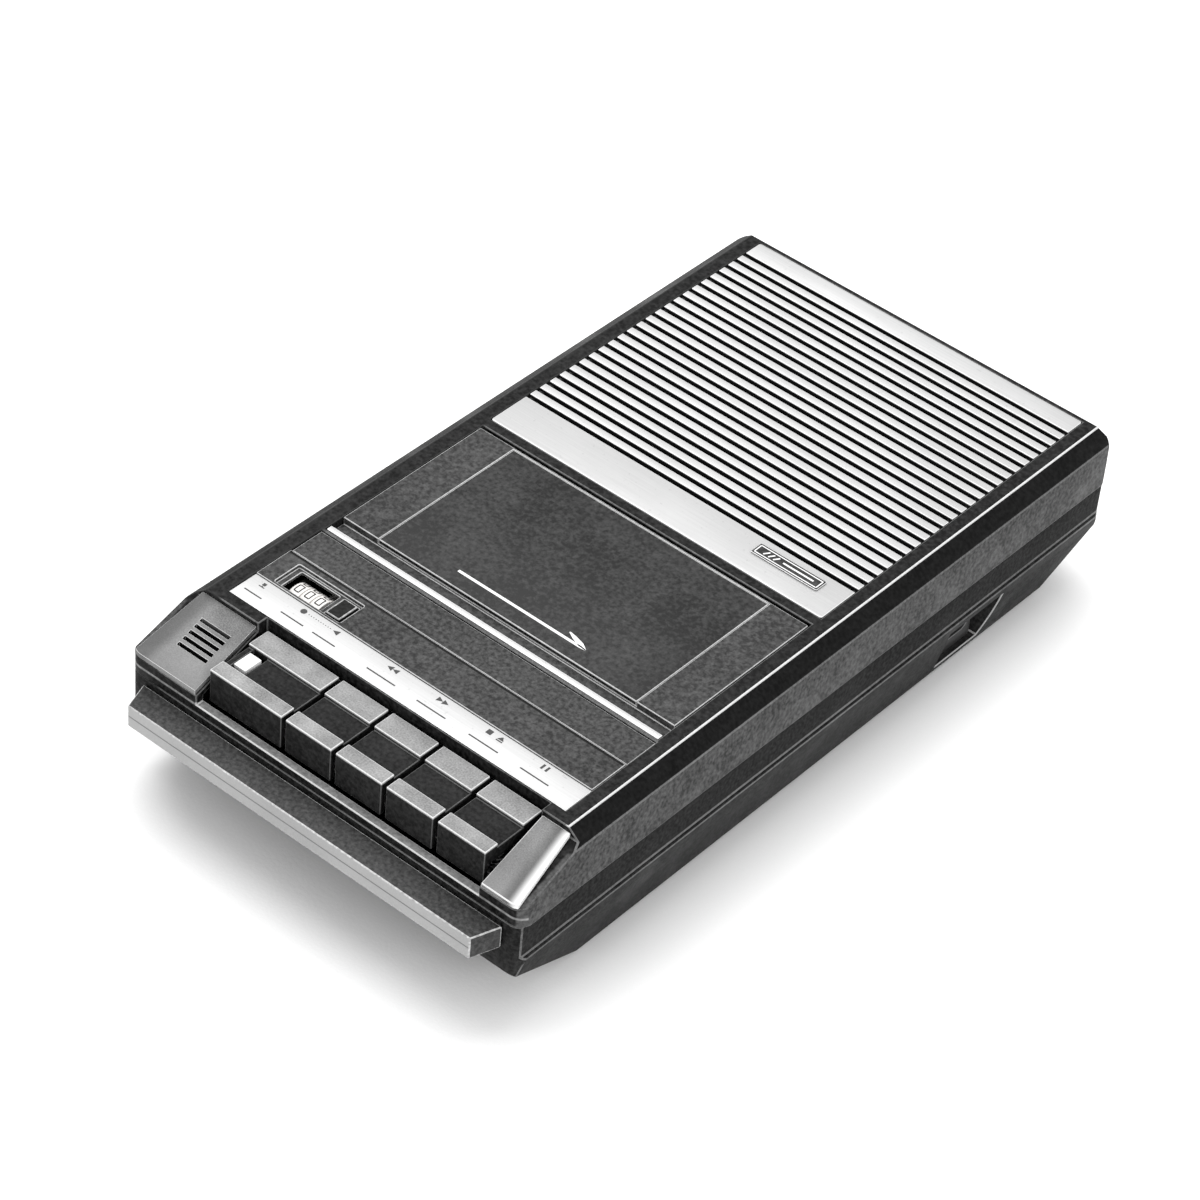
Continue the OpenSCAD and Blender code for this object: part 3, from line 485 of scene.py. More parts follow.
def ribbon(path, width, facing=(0, 0, 1), thick=0.00004):
    """A strip of printed ink. At each point of the path its section is a rectangle, width across and
    thick high, on the surface that looks along facing; across is facing crossed with the path."""
    path = np.asarray(path, float)
    facing = np.broadcast_to(np.asarray(facing, float), path.shape)
    along = np.gradient(path, axis=0)
    across = np.cross(facing, along / np.linalg.norm(along, axis=1)[:, None])
    half = np.broadcast_to(np.asarray(width, float), len(path))[:, None] / 2
    low, high = path - across * half, path + across * half
    ring = np.stack([low, high, high + facing * thick, low + facing * thick], 1)
    return ring.reshape(-1, 3), capped_tube(len(path), 4)


def joined(parts):
    """Several shapes as one: their points one after another, and the faces counted on."""
    points, faces, count = [], [], 0
    for part_points, part_faces in parts:
        points.append(part_points)
        faces += [[corner + count for corner in face] for face in part_faces]
        count += len(part_points)
    return np.concatenate(points), faces


def line(start, end, level, width, stops=(0, 1)):
    """A straight ribbon from start to end on a level, in millimetres, with a width at each stop."""
    share = np.asarray(stops, float)[:, None]
    flat = (1 - share) * np.array(start) + share * np.array(end)
    path = np.column_stack([flat, np.full(len(share), level)])
    return ribbon(path * mm, np.broadcast_to(np.asarray(width, float), len(share)) * mm)


def dot(x, y, radius, level):
    """A dot: at a share s of the radius from the middle it is as wide as the root of 1 less s squared,
    times twice the radius."""
    s = np.sin(np.linspace(-1.45, 1.45, 15))
    width = 2 * radius * np.sqrt(1 - s**2)
    return line((x - radius, y), (x + radius, y), level, width, (s + 1) / 2)


def wedge(x, y, size, level, way=1):
    """A triangle as long as it is wide, that points along X when way is 1, against it when -1."""
    return line((x + way * size / 2, y), (x - way * size / 2, y), level, (0.03, size))


def ink(name, dark, pale, rough=0.5):
    """Screen-printed ink with pinholes and small worn spots."""
    paint = Paint(name)
    pinhole = paint.noise(2600, 2)
    wear = paint.noise(240, 3)
    colour = paint.mix(0.6 * pinhole + 0.4 * wear, tone(dark), tone(pale))
    return paint.surface(colour, rough + 0.2 * wear, pinhole, 0.00001)


dark_ink = ink("dark_print", 0.01, 0.04)
pale_ink = ink("pale_print", 0.6, 0.9)
strip_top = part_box("label_strip")[1].z / mm
sign_y, underline_y = -91.6, -96.2
signs = [dot(-41.6, sign_y, 1.0, strip_top), wedge(-29.4, sign_y, 2.0, strip_top, -1)]
signs += [dot(x, sign_y, 0.16, strip_top) for x in np.arange(-39.6, -31.2, 0.9)]
signs += [wedge(x, sign_y, 1.9, strip_top, -1) for x in (-9.0, -7.0)]
signs += [wedge(x, sign_y, 1.9, strip_top, 1) for x in (9.5, 11.5)]
signs += [
    line((x, sign_y + up), (end_x, sign_y + end_up), strip_top, width)
    for x, up, end_x, end_up, width in (
        (26.6, 0, 28.4, 0, 1.8),
        (31.6, 1, 31.6, -0.4, (0.03, 2.2)),
        (30.5, -0.9, 32.7, -0.9, 0.4),
        (46.6, -1, 46.6, 1, 0.7),
        (48.2, -1, 48.2, 1, 0.7),
        (-57, 0.9, -57, -0.2, 1.1),
        (-58, -0.9, -56, -0.9, 0.35),
        (-57, -0.3, -57, -0.9, 0.3),
    )
]
marks = ((-60, -53.5), (-46, -37.5), (-34, -25.5), (-13.5, -3), (5, 15.5), (24, 34.5), (42.5, 52.5))
signs += [line((a, underline_y), (b, underline_y), strip_top, 0.45) for a, b in marks]
new_piece("key_signs", joined(signs), dark_ink, "label_strip", smooth=False)
badge_low, badge_high = (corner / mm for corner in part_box("badge_plate"))
inset = 0.8
corners = [
    (badge_low.x + inset, badge_low.y + inset),
    (badge_high.x - inset, badge_low.y + inset),
    (badge_high.x - inset, badge_high.y - inset),
    (badge_low.x + inset, badge_high.y - inset),
]
border = [line(corners[i], corners[(i + 1) % 4], badge_high.z, 0.35) for i in range(4)]
border += [line((x, 18.4), (x + 1.2, 20.2), badge_high.z, 0.5) for x in (33.4, 35.2, 37.0)]
border.append(line((40, 19.3), (51, 19.3), badge_high.z, 0.6))
new_piece("badge_border", joined(border), pale_ink, "badge_plate", smooth=False)


# Corner caps: pressed aluminium in satin light grey, bonded to the sloped shoulders at each side of the
# keys. The left one has five slots over the microphone.
paint = Paint("cap_satin")
cap_cloud = paint.noise(60, 4)
cap_fine = paint.noise(2600, 3)
across, along = paint.axis("X"), paint.axis("Y")
# Painted light and shade on the caps: paler towards the front as painted light, a painted shadow in the
# hollow inside the outer edges, and a painted highlight along the right cap's rolled outer edge.
slope_painted_light = along.smooth(-0.1045, -0.1284)
lean = 0.1 * (along + 0.1045)
rolled = (across + lean).smooth(0.0645, 0.0680)
hollow = (abs(across) + lean).smooth(0.0610, 0.0652)
colour = paint.mix(1.6 * cap_cloud + 1.6 * cap_fine - 1.1, tone(0.07), tone(0.22))
colour = paint.mix(0.45 * slope_painted_light, colour, tone(0.28))
colour = paint.mix(0.6 * hollow, colour, tone(0.05))
colour = paint.mix(rolled, colour, tone(0.8))
# The slots over the microphone are painted black inside, a painted shade.
first_slot, half_pitch, half_slot = -0.1201, 0.0011, 0.0006
from_first = along - first_slot
from_slot = from_first.sum_of("PINGPONG", from_first, half_pitch)
slot_shade = from_slot.smooth(half_slot + 0.00002, half_slot - 0.00002)
slot_shade = slot_shade * across.between(-0.06205, -0.05075, 0.00005) * along.between(-0.1208, -0.1107, 0.0001)
colour = paint.mix(slot_shade, colour, tone(0.002))
roughness = 0.42 + 0.16 * cap_cloud
cap_face = paint.surface(colour, roughness, cap_fine, 0.00004, Specular_IOR_Level=0.25)
# The caps' edge material is painted pale, a painted highlight along the rounded edges.
cap_edge = lacquered("cap_edge_painted_highlight", 0.5, 0.85, rough=0.3)
rounded("cap_left", 0.07 * mm, cap_face, cap_edge)
rounded("cap_right", 0.3 * mm, cap_face, cap_edge)


# Door: a frame with side strips and a low front lip, a smoked acrylic window set flush between them, and
# a bright foil strip along the lip. It turns on two pins and a coil lifts it.
door_face = plain_grained("door_satin", 0.018, 0.076, rough=0.48, depth=0.00004)
rounded("door_frame", 0.25 * mm, door_face, panel_edge)
paint = Paint("smoked_acrylic")
haze = paint.noise(45, 4)
dust = paint.noise(1500, 2).smooth(0.62, 0.72)
rub = paint.noise(1, 4, paint.stretched((3200, 240, 400), (0, 0, 0.5))).smooth(0.66, 0.74)
mottle = paint.noise(820, 4)
murk = 1.3 * haze + 1.9 * mottle + 0.35 * dust + 0.25 * rub - 1.35
window_face = paint.surface(
    paint.mix(murk, tone(0.006), tone(0.052)),
    0.3 + 0.2 * haze + 0.15 * dust,
    rub,
    0.00001,
    Specular_IOR_Level=0.16,
)
rounded("door_window", 0.3 * mm, window_face, panel_edge)
rounded("door_stripe", 0.25 * mm, lacquered("stripe_foil", 0.4, 0.6, rough=0.2), silver_edge)
window_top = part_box("door_window")[1].z / mm
tail, tip, barb = (-22.9, -48.5), (24.3, -48.5), (16.3, -45.8)
arrow = [
    line(tail, tip, window_top, (0.95, 0.95, 0.95, 0.4), (0, 0.5, 0.96, 1)),
    line(tip, barb, window_top, (0.4, 1.7, 1.3, 0.4), (0, 0.3, 0.7, 1)),
]
new_piece("tape_arrow", joined(arrow), pale_ink, "door_window", smooth=False)


def metal(name, dark, pale, rough=0.3, lines=(60, 60, 60), centre=None, warmth=0.0):
    """Bare metal: polishing lines along the piece, or rings about centre where it was turned."""
    paint = Paint(name)
    cloud = paint.noise(90, 3)
    if centre is None:
        marks = paint.noise(1, 3, paint.stretched(lines))
    else:
        marks = paint.add(
            "ShaderNodeTexWave",
            {"wave_type": "RINGS", "rings_direction": "Z"},
            {
                "Vector": paint.stretched((1, 1, 1), centre=centre),
                "Scale": 2200,
                "Distortion": 1.5,
            },
        )
    stain = paint.noise(300, 3).smooth(0.6, 0.8)
    colour = paint.mix(0.4 * marks + 0.6 * cloud, tone(dark, warmth), tone(pale, warmth))
    colour = paint.mix(0.3 * stain, colour, tone(dark * 0.6, warmth))
    return paint.surface(colour, rough + 0.18 * marks + 0.12 * stain, marks, 0.00001, Metallic=1)


def swept(path, radius, axis, around=10):
    """A round wire. At each point of the path a ring lies square to it: the cosine of the turn times
    the path's direction crossed with axis, plus the sine times that crossed with the path's
    direction, both of length radius."""
    path = np.asarray(path, float)
    along = np.gradient(path, axis=0)
    along /= np.linalg.norm(along, axis=1)[:, None]
    side = np.cross(along, axis)
    side /= np.linalg.norm(side, axis=1)[:, None]
    turn = np.linspace(0, 2 * np.pi, around, endpoint=False)[None, :, None]
    ring = np.cos(turn) * side[:, None] + np.sin(turn) * np.cross(along, side)[:, None]
    size = np.broadcast_to(np.asarray(radius, float), len(path))[:, None, None]
    return (path[:, None] + size * ring).reshape(-1, 3), capped_tube(len(path), around)


def helix(centre, radius, length, turns, axis=2, per_turn=20, dead=0.75):
    """Points of a coil from centre along an axis: the angle grows evenly and the height too, but for
    dead turns at each end that lie flat; radius may be two numbers, for a coil that tapers."""
    count = int(turns * per_turn) + 1
    turn = np.linspace(0, turns, count)
    rise = np.clip((turn - dead) / (turns - 2 * dead), 0, 1)
    start, end = np.broadcast_to(radius, 2)
    around = start + (end - start) * rise
    points = np.zeros((count, 3))
    points[:, axis] = length * rise
    points[:, (axis + 1) % 3] = around * np.cos(2 * np.pi * turn)
    points[:, (axis + 2) % 3] = around * np.sin(2 * np.pi * turn)
    return points + np.asarray(centre, float)


plated = metal("zinc_plate", 0.42, 0.72, rough=0.32)
drawn = metal("drawn_steel", 0.5, 0.8, rough=0.22, lines=(40, 2500, 2500))
spring_steel = metal("spring_wire", 0.35, 0.62, rough=0.25, lines=(900, 900, 900))
rounded("hinge_pins", 0.15 * mm, drawn)
coil_start, coil_radius, coil_length, wire = (-59.6, -9, 42.6), 2.25, 3.2, 0.25
coil = helix(coil_start, coil_radius, coil_length, 7.25, axis=0, per_turn=28, dead=0.2)
rear_leg = np.linspace((-59.4, -22, 44.82), (-59.4, -9.6, 44.82), 8)
front_leg = np.linspace((-56.6, -11.22, 42.3), (-56.6, -11.22, 36.5), 6)
door_coil = [swept(part * mm, wire * mm, (1, 0, 0)) for part in (rear_leg, coil, front_leg)]
new_piece("door_coil", joined(door_coil), spring_steel, "door_spring", ["door_spring"])


# Cassette bay: a black moulded tray with holes for the spindles and the capstan, and two folded steel
# rails under the door that carry the cassette.
bay_face = plain_grained("bay_styrene", 0.005, 0.02, rough=0.6)
bay_edge = plain_grained("bay_rubbed_edge", 0.05, 0.2, rough=0.4, depth=0.00003, spots=0.5)
rounded("cassette_well", 0.2 * mm, bay_face, bay_edge)
rounded("cassette_holder", 0.12 * mm, metal("rail_steel", 0.4, 0.7, lines=(2500, 50, 2500)))


# Keys: grey styrene caps, the raised strips at their front and rear hot-stamped in light grey foil, the
# hollow between them and the front face left dark. All turn on one steel rod.
paint, fine, colour, roughness = grained("key_styrene", 0.002, 0.02)
foil_cloud = paint.noise(120, 4)
foil = paint.axis("Z").smooth(0.04925, 0.04945)
foil_colour = paint.mix(1.3 * foil_cloud + 1.3 * fine - 0.8, tone(0.12), tone(0.36))
colour = paint.mix(foil, colour, foil_colour)
key_face = paint.surface(colour, roughness - 0.1 * foil, fine, 0.00007, Specular_IOR_Level=0.12)
# The edge material is dark on the low edges and painted pale on the edges of the raised strips, a painted
# highlight.
paint = Paint("key_edge_painted_highlight")
fine = paint.noise(1700, 3)
high = paint.axis("Z").smooth(0.0492, 0.0497)
low_edge, high_edge = paint.mix(fine, tone(0.02), tone(0.1)), paint.mix(fine, tone(0.4), tone(0.8))
key_edge = paint.surface(paint.mix(high, low_edge, high_edge), 0.32 + 0.1 * fine, fine, 0.00002)
keys = ["play", "rewind", "forward", "stop", "pause"]
for key in keys:
    rounded("key_" + key, 0.28 * mm, key_face, key_edge)
button_face = plain_grained("button_white", 0.62, 0.86, rough=0.35)
rounded("record_button", 0.25 * mm, button_face, silver_edge)
rounded("key_shaft", 0.15 * mm, drawn)
rounded("key_bracket", 0.15 * mm, plated)
rounded("latch_plate", 0.1 * mm, plated)


# Key springs: one coil of steel wire under each key, standing on the key bracket.
spring_low, spring_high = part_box("key_springs")
spring_x = (-25.5, -3.4, 15.1, 33.6, 52.1)
spring_height, wire = spring_high.z - spring_low.z, 0.28 * mm
for key, x in zip(keys, spring_x):
    foot = (x * mm, -115 * mm, spring_low.z + wire)
    path = helix(foot, 1.8 * mm, spring_height - 2 * wire, 8.5)
    spring = new_piece(
        key + "_spring", swept(path, wire, (0, 0, 1)), spring_steel, "key_springs", ["key_springs"]
    )
    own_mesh(spring)


# Tape drive: a zinc-plated chassis carries the head bridge, the heads and the rubber roller; below it lie
# the brass flywheel on its capstan, the motor with its pulley, and the rubber belts.
for node, radius in (
    ("chassis", 0.15), ("head_bridge", 0.12), ("pinch_arm", 0.1), ("flywheel_bracket", 0.12)
):
    rounded(node, radius * mm, plated)
paint = Paint("head_metal")
lap = paint.noise(1, 3, paint.stretched((2400, 2400, 90)))
gap = abs(paint.axis("X")).smooth(0.00022, 0.00012)
black_core = paint.axis("X").smooth(-0.0085, -0.0095)
colour = paint.mix(black_core, paint.mix(lap, tone(0.5), tone(0.78)), tone(0.02))
colour = paint.mix(gap, colour, tone(0.03))
roughness = 0.14 + 0.12 * lap + 0.3 * black_core
head_face = paint.surface(colour, roughness, lap, 0.00001, Metallic=0.9)
rounded("tape_heads", 0.25 * mm, head_face)


def rubber(name, dark=0.012, pale=0.035):
    """Black rubber with a fine moulded grain and a pale bloom."""
    paint = Paint(name)
    fine = paint.noise(2800, 3)
    bloom = paint.noise(140, 4).smooth(0.5, 0.8)
    colour = paint.mix(0.5 * fine + 0.6 * bloom, tone(dark), tone(pale))
    return paint.surface(colour, 0.72 + 0.15 * fine, fine, 0.00004)


black_rubber = rubber("black_rubber")
rounded("pinch_roller", 0.3 * mm, black_rubber)
rounded("belts", 0.08 * mm, rubber("belt_rubber", 0.01, 0.025))
wheel_low, wheel_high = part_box("flywheel")
wheel_centre = (wheel_low + wheel_high) / 2
turned_brass = metal("turned_brass", 0.5, 0.72, 0.25, centre=wheel_centre, warmth=0.28)
rounded("flywheel", 0.2 * mm, turned_brass)
rounded("capstan_bearing", 0.15 * mm, metal("bronze", 0.35, 0.55, 0.35, warmth=0.3))
rounded("motor", 0.5 * mm, plated)
rounded("motor_pulley", 0.1 * mm, metal("pulley_brass", 0.5, 0.72, 0.25, warmth=0.28))


def smooth_plastic(name, dark, pale, rough=0.4, warmth=0.0):
    """Plain moulded plastic: faint flow clouds, fine grain and a few scuffs."""
    paint = Paint(name)
    cloud = paint.noise(150, 3)
    fine = paint.noise(2200, 2)
    scuff = paint.noise(1, 3, paint.stretched((300, 3800, 900), (0, 0, 0.8))).smooth(0.68, 0.76)
    colour = paint.mix(0.6 * cloud + 0.4 * fine, tone(dark, warmth), tone(pale, warmth))
    colour = paint.mix(0.4 * scuff, colour, tone(pale * 1.15, warmth))
    return paint.surface(colour, rough + 0.15 * cloud, fine, 0.00002)


acetal = smooth_plastic("white_acetal", 0.66, 0.82, 0.35, 0.03)
rounded("supply_spindle", 0.2 * mm, acetal)
rounded("takeup_spindle", 0.2 * mm, acetal)


# Tape counter: three white drums with black figures on one shaft in a black frame, turned by an upright
# worm. The reset button stands in its own hole beside the window.
rounded("counter_frame", 0.12 * mm, bay_face)
rounded("counter_pulley", 0.1 * mm, acetal)
rounded("reset_button", 0.35 * mm, bay_face, plain_grained("button_edge", 0.25, 0.6, rough=0.35))
figure_height, figure_width, stroke, sunk = 2.9 * mm, 1.7 * mm, 0.42 * mm, 0.01 * mm
stations = 7
ends = {
    "top": ((0, 1), (1, 1)), "middle": ((0, 0.5), (1, 0.5)), "bottom": ((0, 0), (1, 0)),
    "left_high": ((0, 0.5), (0, 1)), "right_high": ((1, 0.5), (1, 1)),
    "left_low": ((0, 0), (0, 0.5)), "right_low": ((1, 0), (1, 0.5)),
}
missing = {
    0: "middle", 1: "top middle bottom left_high left_low", 2: "left_high right_low",
    3: "left_high left_low", 4: "top bottom left_low", 5: "right_high left_low", 6: "right_high",
    7: "middle bottom left_high left_low", 8: "", 9: "left_low",
}
for place in ("ones", "tens", "hundreds"):
    low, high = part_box("counter_drum_" + place)
    middle, reach = (low + high) / 2, (high.z - low.z) / 2
    figures = []
    for figure, left_out in missing.items():
        for bar, (start, end) in ends.items():
            if bar in left_out.split():
                continue
            share = np.linspace(0, 1, stations)[:, None]
            flat = (1 - share) * np.array(start) + share * np.array(end) - 0.5
            angle = math.pi / 2 - (flat[:, 1] * figure_height / reach + figure * math.pi / 5)
            facing = np.column_stack([np.zeros(stations), -np.cos(angle), np.sin(angle)])
            path = (reach - sunk) * facing + (middle.x, middle.y, middle.z)
            path[:, 0] += flat[:, 0] * figure_width
            figures.append(ribbon(path, stroke, facing))
    rounded("counter_drum_" + place, 0.15 * mm, acetal)
    new_piece("figures_" + place, joined(figures), dark_ink, "counter_drum_" + place, smooth=False)


# Speaker: a pressed steel basket, a paper cone with a rolled edge and a dust cap, and a ferrite magnet.
def turned(profile, centre, around=96):
    """A closed profile of radius and height, carried round the upright axis through centre: at each
    turn X is the radius times its cosine and Y the radius times its sine."""
    profile = np.asarray(profile, float)
    turn = np.linspace(0, 2 * np.pi, around, endpoint=False)[None, :]
    radius, height = profile[:, :1], profile[:, 1:]
    x, y = centre[0] + radius * np.cos(turn), centre[1] + radius * np.sin(turn)
    faces = grid_faces(len(profile), around, round_rows=True, round_columns=True)
    return np.stack([x, y, height + 0 * turn], -1).reshape(-1, 3), faces


rounded("speaker_frame", 0.2 * mm, plated)
rounded("speaker_magnet", 0.3 * mm, smooth_plastic("ferrite", 0.03, 0.07, 0.55))
cone_low, cone_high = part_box("speaker_cone")
cone_middle = (cone_low + cone_high) / 2
cap_reach, roll_reach, paper_thick = 10.5, 28.5, 0.5
reach = np.linspace(0.3, 32.2, 110)
dome = 39.4 + 2.2 * np.cos(np.clip(reach / cap_reach, 0, 1) * np.pi / 2)
wall_share = np.clip((reach - cap_reach) / (roll_reach - cap_reach), 0, 1)
ribs = 0.45 * np.sin((reach - roll_reach) * np.pi / 1.2) * (reach > roll_reach)
front = np.where(reach < cap_reach, dome, 39.2 + 7.2 * wall_share**0.85 + ribs)
outline = np.concatenate(
    [np.column_stack([reach, front]), np.column_stack([reach, front - paper_thick])[::-1]]
)
paint = Paint("paper_pulp")
fibre = paint.noise(1, 4, paint.stretched((1400, 1400, 500)))
pulp = paint.noise(500, 4)
colour = paint.mix(0.5 * fibre + 0.5 * pulp, tone(0.012), tone(0.05))
pulp_face = paint.surface(colour, 0.85 + 0.1 * pulp, fibre, 0.00012)
cone_shape = turned(outline * mm, cone_middle)
new_piece("paper_cone", cone_shape, pulp_face, "speaker_cone", ["speaker_cone"])


# Electrics: a phenolic board with its parts, the mains transformer, the volume wheel and the sockets at
# the left side, the microphone under the left cap and the mains inlet in the right side.
paint = Paint("phenolic_board")
paper_layer = paint.noise(1, 4, paint.stretched((120, 1600, 400)))
track = paint.add(
    "ShaderNodeTexVoronoi", {"feature": "DISTANCE_TO_EDGE"}, {"Vector": paint.place, "Scale": 190}
).smooth(0.12, 0.16)
underside = paint.axis("Z").smooth(0.0094, 0.0092)
laminate = paint.mix(paper_layer, (0.26, 0.13, 0.04, 1), (0.42, 0.24, 0.09, 1))
copper = underside * track
colour = paint.mix(copper, laminate, (0.72, 0.36, 0.16, 1))
board_face = paint.surface(colour, 0.5 - 0.2 * copper + 0.1 * paper_layer, copper, 0.00004)
rounded("circuit_board", 0.1 * mm, board_face)
paint = Paint("board_components")
fine = paint.noise(900, 3)
row = paint.axis("Y")
sleeve = paint.mix(fine, (0.01, 0.015, 0.05, 1), (0.02, 0.03, 0.09, 1))
resistor, chip = row.between(0.0350, 0.0425, 0.0005), row.between(0.0265, 0.0335, 0.0005)
band = paint.add(
    "ShaderNodeTexWave",
    {"wave_type": "BANDS", "bands_direction": "Y"},
    {"Vector": paint.place, "Scale": 180},
).smooth(0.7, 0.8)
colour = paint.mix(resistor, sleeve, paint.mix(band, (0.45, 0.3, 0.16, 1), (0.25, 0.03, 0.02, 1)))
colour = paint.mix(chip, colour, tone(0.015))
rounded("board_parts", 0.3 * mm, paint.surface(colour, 0.35 + 0.2 * fine, fine, 0.00003))
paint = Paint("transformer_laminations")
leaf = paint.add(
    "ShaderNodeTexWave",
    {"wave_type": "BANDS", "bands_direction": "Z"},
    {"Vector": paint.place, "Scale": 320},
)
varnish = paint.noise(200, 3)
winding = paint.axis("Y").smooth(0.0505, 0.051) + paint.axis("Y").smooth(0.0215, 0.021)
core = paint.mix(varnish, (0.05, 0.035, 0.02, 1), (0.14, 0.11, 0.08, 1))
colour = paint.mix(winding, core, (0.42, 0.32, 0.12, 1))
rounded("transformer", 0.3 * mm, paint.surface(colour, 0.4 + 0.2 * varnish, leaf, 0.0001))
black_plastic = smooth_plastic("black_plastic", 0.010, 0.028, 0.42)
rubbed = smooth_plastic("rubbed_black_edge", 0.08, 0.22, 0.35)
rounded("volume_wheel", 0.2 * mm, black_plastic, rubbed)
rounded("jack_sockets", 0.15 * mm, black_plastic, rubbed)
rounded("mic_capsule", 0.3 * mm, black_rubber)
paint = Paint("inlet_and_pins")
fine = paint.noise(1800, 3)
pin_across, pin_up = abs(paint.axis("Y") - 0.0745) - 0.0033, paint.axis("Z") - 0.012
from_pin = paint.add("ShaderNodeCombineXYZ", values={"X": pin_across, "Y": pin_up})
pin = paint.add("ShaderNodeVectorMath", {"operation": "LENGTH"}, {0: from_pin}, out="Value")
pin = pin.smooth(0.00135, 0.00125)
colour = paint.mix(pin, paint.mix(fine, tone(0.01), tone(0.03)), tone(0.66))
inlet_face = paint.surface(colour, 0.45 - 0.2 * pin + 0.1 * fine, fine, 0.00003)
rounded("ac_inlet", 0.2 * mm, inlet_face, rubbed)


# Battery compartment: a black cover over its opening, with a round hinge edge, and for each row of cells
# two nickel-plated contacts and a tapered coil spring at one end.
rounded("battery_cover", 0.3 * mm, plain_grained("cover_styrene", 0.012, 0.045), cabinet_edge)
nickel = metal("nickel_plate", 0.5, 0.78, 0.24)
cell_height = 17


def tab(x, y, inward):
    """A contact plate with a raised button pressed into its middle. At a distance r from the middle
    the button is 0.9 times e to the power of minus the square of r squared over 9 high; the plate is
    a rectangle of 16 by 18, 0.5 thick, with its middle at the height of the cells'."""
    half_wide, half_high, thick = 8, 9, 0.5
    v, u = np.meshgrid(
        np.linspace(-half_high, half_high, 40), np.linspace(-half_wide, half_wide, 36), indexing="ij"
    )
    bell = 0.9 * np.exp(-((u**2 + v**2) / 9) ** 2)
    outer = np.stack([x + inward * (bell + thick), y + u, cell_height + v], -1)
    inner = np.stack([x + inward * bell, y + u, cell_height + v], -1)
    points = np.concatenate([outer.reshape(-1, 3), inner.reshape(-1, 3)])
    rows, columns = u.shape
    count = rows * columns
    near = grid_faces(rows, columns)
    far = [[corner + count for corner in reversed(face)] for face in near]
    edge = list(range(columns)) + [i * columns + columns - 1 for i in range(1, rows)]
    edge += [(rows - 1) * columns + i for i in reversed(range(columns - 1))]
    edge += [i * columns for i in reversed(range(1, rows - 1))]
    skirt = [[b, a, a + count, b + count] for a, b in zip(edge[-1:] + edge[:-1], edge)]
    return points * mm, near + far + skirt


contact_low, contact_high = (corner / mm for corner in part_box("battery_contacts"))
contacts = []
for row_y, coil_side in ((76.3, 1), (103.7, -1)):
    for x, inward in ((contact_low.x, 1), (contact_high.x, -1)):
        contacts.append(tab(x, row_y, inward))
    x = contact_low.x + 0.55 if coil_side > 0 else contact_high.x - 0.55
    path = helix((0, 0, 0), (4.5, 2.6), 4.2, 4.5, axis=0, per_turn=28)
    path[:, 0] *= coil_side
    contacts.append(swept((path + (x, row_y, cell_height)) * mm, 0.25 * mm, (1, 0, 0)))
new_piece("cell_contacts", joined(contacts), nickel, "battery_contacts", ["battery_contacts"])


# Handle: a tapered bar on two flat arms that run in guides in the lower cabinet. The bar's front face is
# light grey with a fine parting line along its middle, and its top is dark.
paint, fine, colour, roughness = grained("handle_styrene", 0.02, 0.07)
front_face = paint.axis("Y").smooth(-0.1378, -0.13795) * paint.axis("Z").smooth(0.02545, 0.0256)
parting = abs(paint.axis("Z") - 0.0293).smooth(0.00035, 0.0001)
front_tone = paint.mix(0.5 * fine + 0.5 * paint.noise(40, 3), tone(0.24), tone(0.44))
front_tone = paint.mix(0.7 * parting, front_tone, tone(0.1))
colour = paint.mix(front_face, colour, front_tone)
relief = fine - 2 * parting * front_face
handle_face = paint.surface(colour, roughness, relief, 0.00007, Specular_IOR_Level=0.22)
handle_edge = plain_grained("handle_edge", 0.3, 0.65, rough=0.36, depth=0.00002)
rounded("handle", 0.35 * mm, handle_face, handle_edge)


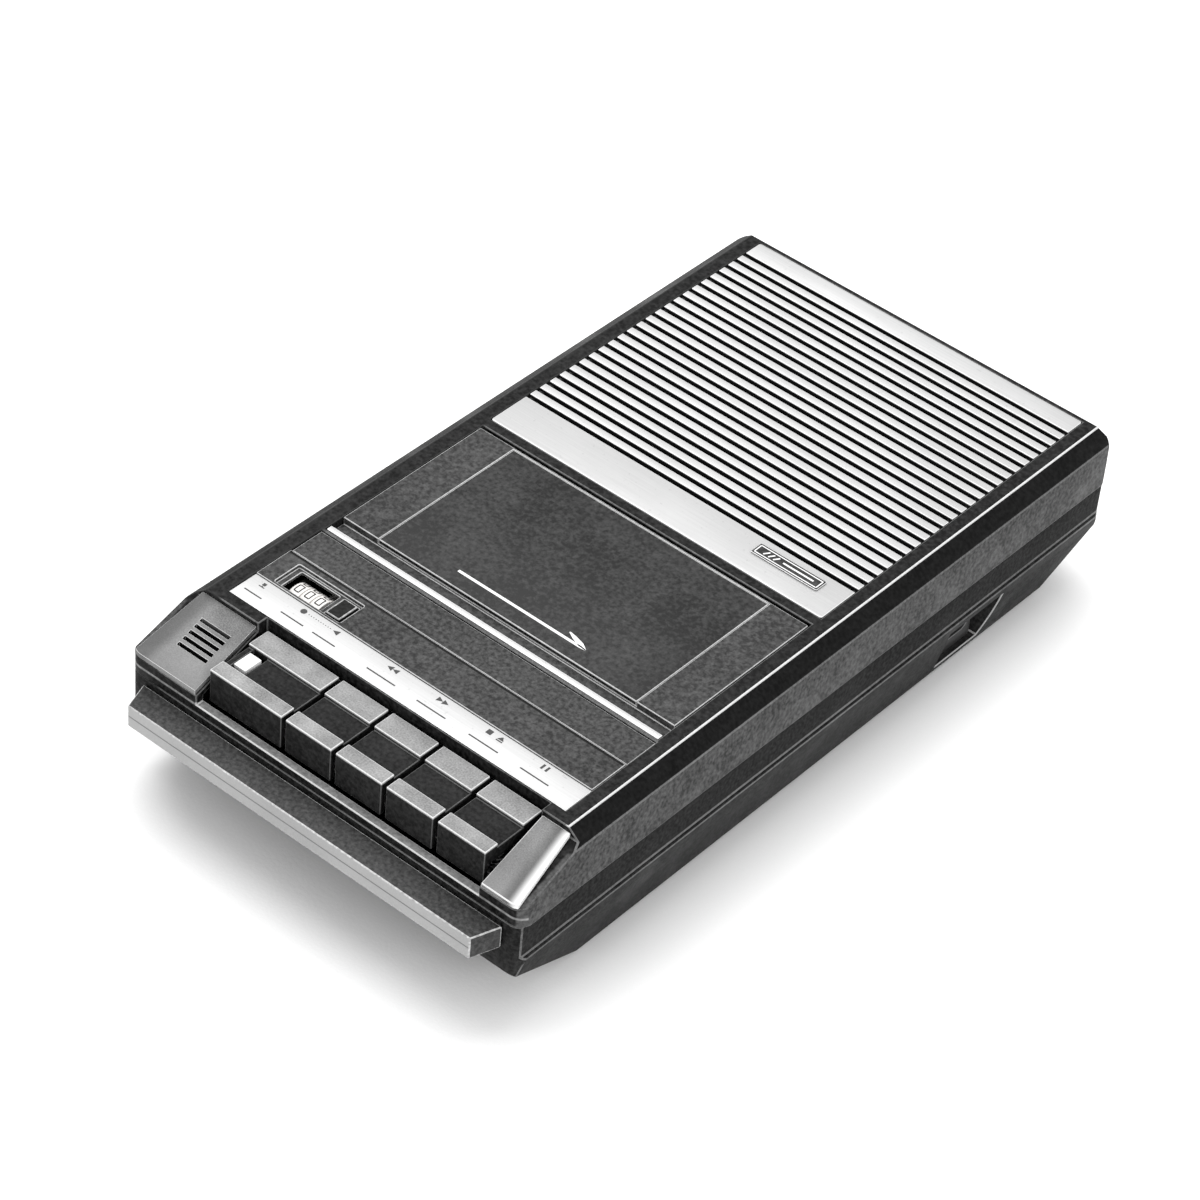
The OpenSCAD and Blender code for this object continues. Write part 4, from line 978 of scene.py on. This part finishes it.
# Feet and screws: four rubber feet pressed into the tray, and plated cross-head screws.
rounded("feet", 0.4 * mm, black_rubber)


def screw(x, y, seat, tip, radius, up):
    """A pan-head screw. At a share r of its radius the head is 1.45 times 1 less 0.55 r cubed high, less
    a recess 0.75 deep where r times the smaller of the turn's sine and cosine is under 0.11 and r is
    under 0.62. The shank's radius ripples with the thread's pitch as 0.9 plus 0.1 times a cosine,
    and tapers over its last 1.2."""
    around, head_reach, length, pitch, point = 48, 2 * radius, abs(seat - tip), 0.7, 1.2
    circle = np.linspace(0, 2 * np.pi, around, endpoint=False)
    ring, turn = np.meshgrid(np.linspace(0.02, 1, 14), circle, indexing="ij")
    dome = 1.45 * (1 - 0.55 * ring**3)
    arm = np.minimum(abs(np.sin(turn)), abs(np.cos(turn))) * ring
    cut = 0.75 / (1 + np.exp((arm - 0.11) * 60)) / (1 + np.exp((ring - 0.62) * 30))
    head = np.stack([ring * head_reach, dome - cut], -1)
    shank_z = np.linspace(0, length, 90)
    thread = radius * (0.9 + 0.1 * np.cos(shank_z * 2 * np.pi / pitch))
    thread = thread * np.clip((length - shank_z) / point, 0.05, 1)
    under = np.concatenate([[head_reach], thread])
    depth = np.concatenate([[0], -shank_z])
    shank = np.stack([under[:, None] + 0 * turn[0], depth[:, None] + 0 * turn[0]], -1)
    rings = np.concatenate([head, shank])
    side = rings[..., 0]
    points = np.stack(
        [x + side * np.cos(turn[0]), y + side * np.sin(turn[0]), seat + up * rings[..., 1]], -1
    )
    return points.reshape(-1, 3) * mm, capped_tube(len(rings), around)


sides = (-1, 1)
screws = [screw(s * 64.5, y, 11.95, 42, 1.2, -1) for s in sides for y in (-50, 125)]
screws += [screw(s * x, y, 33.95, 41, 0.85, -1) for s in sides for x, y in ((60.5, -84), (64.2, -18))]
screws += [screw(s * 48, y, 39.55, 46, 0.85, -1) for s in sides for y in (12.5, 88)]
screws += [screw(x, y, 10.65, 5, 0.85, 1) for x in (-48, 18) for y in (9, 55)]
new_piece("cross_screws", joined(screws), plated, "screws", ["screws"])


low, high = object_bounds()
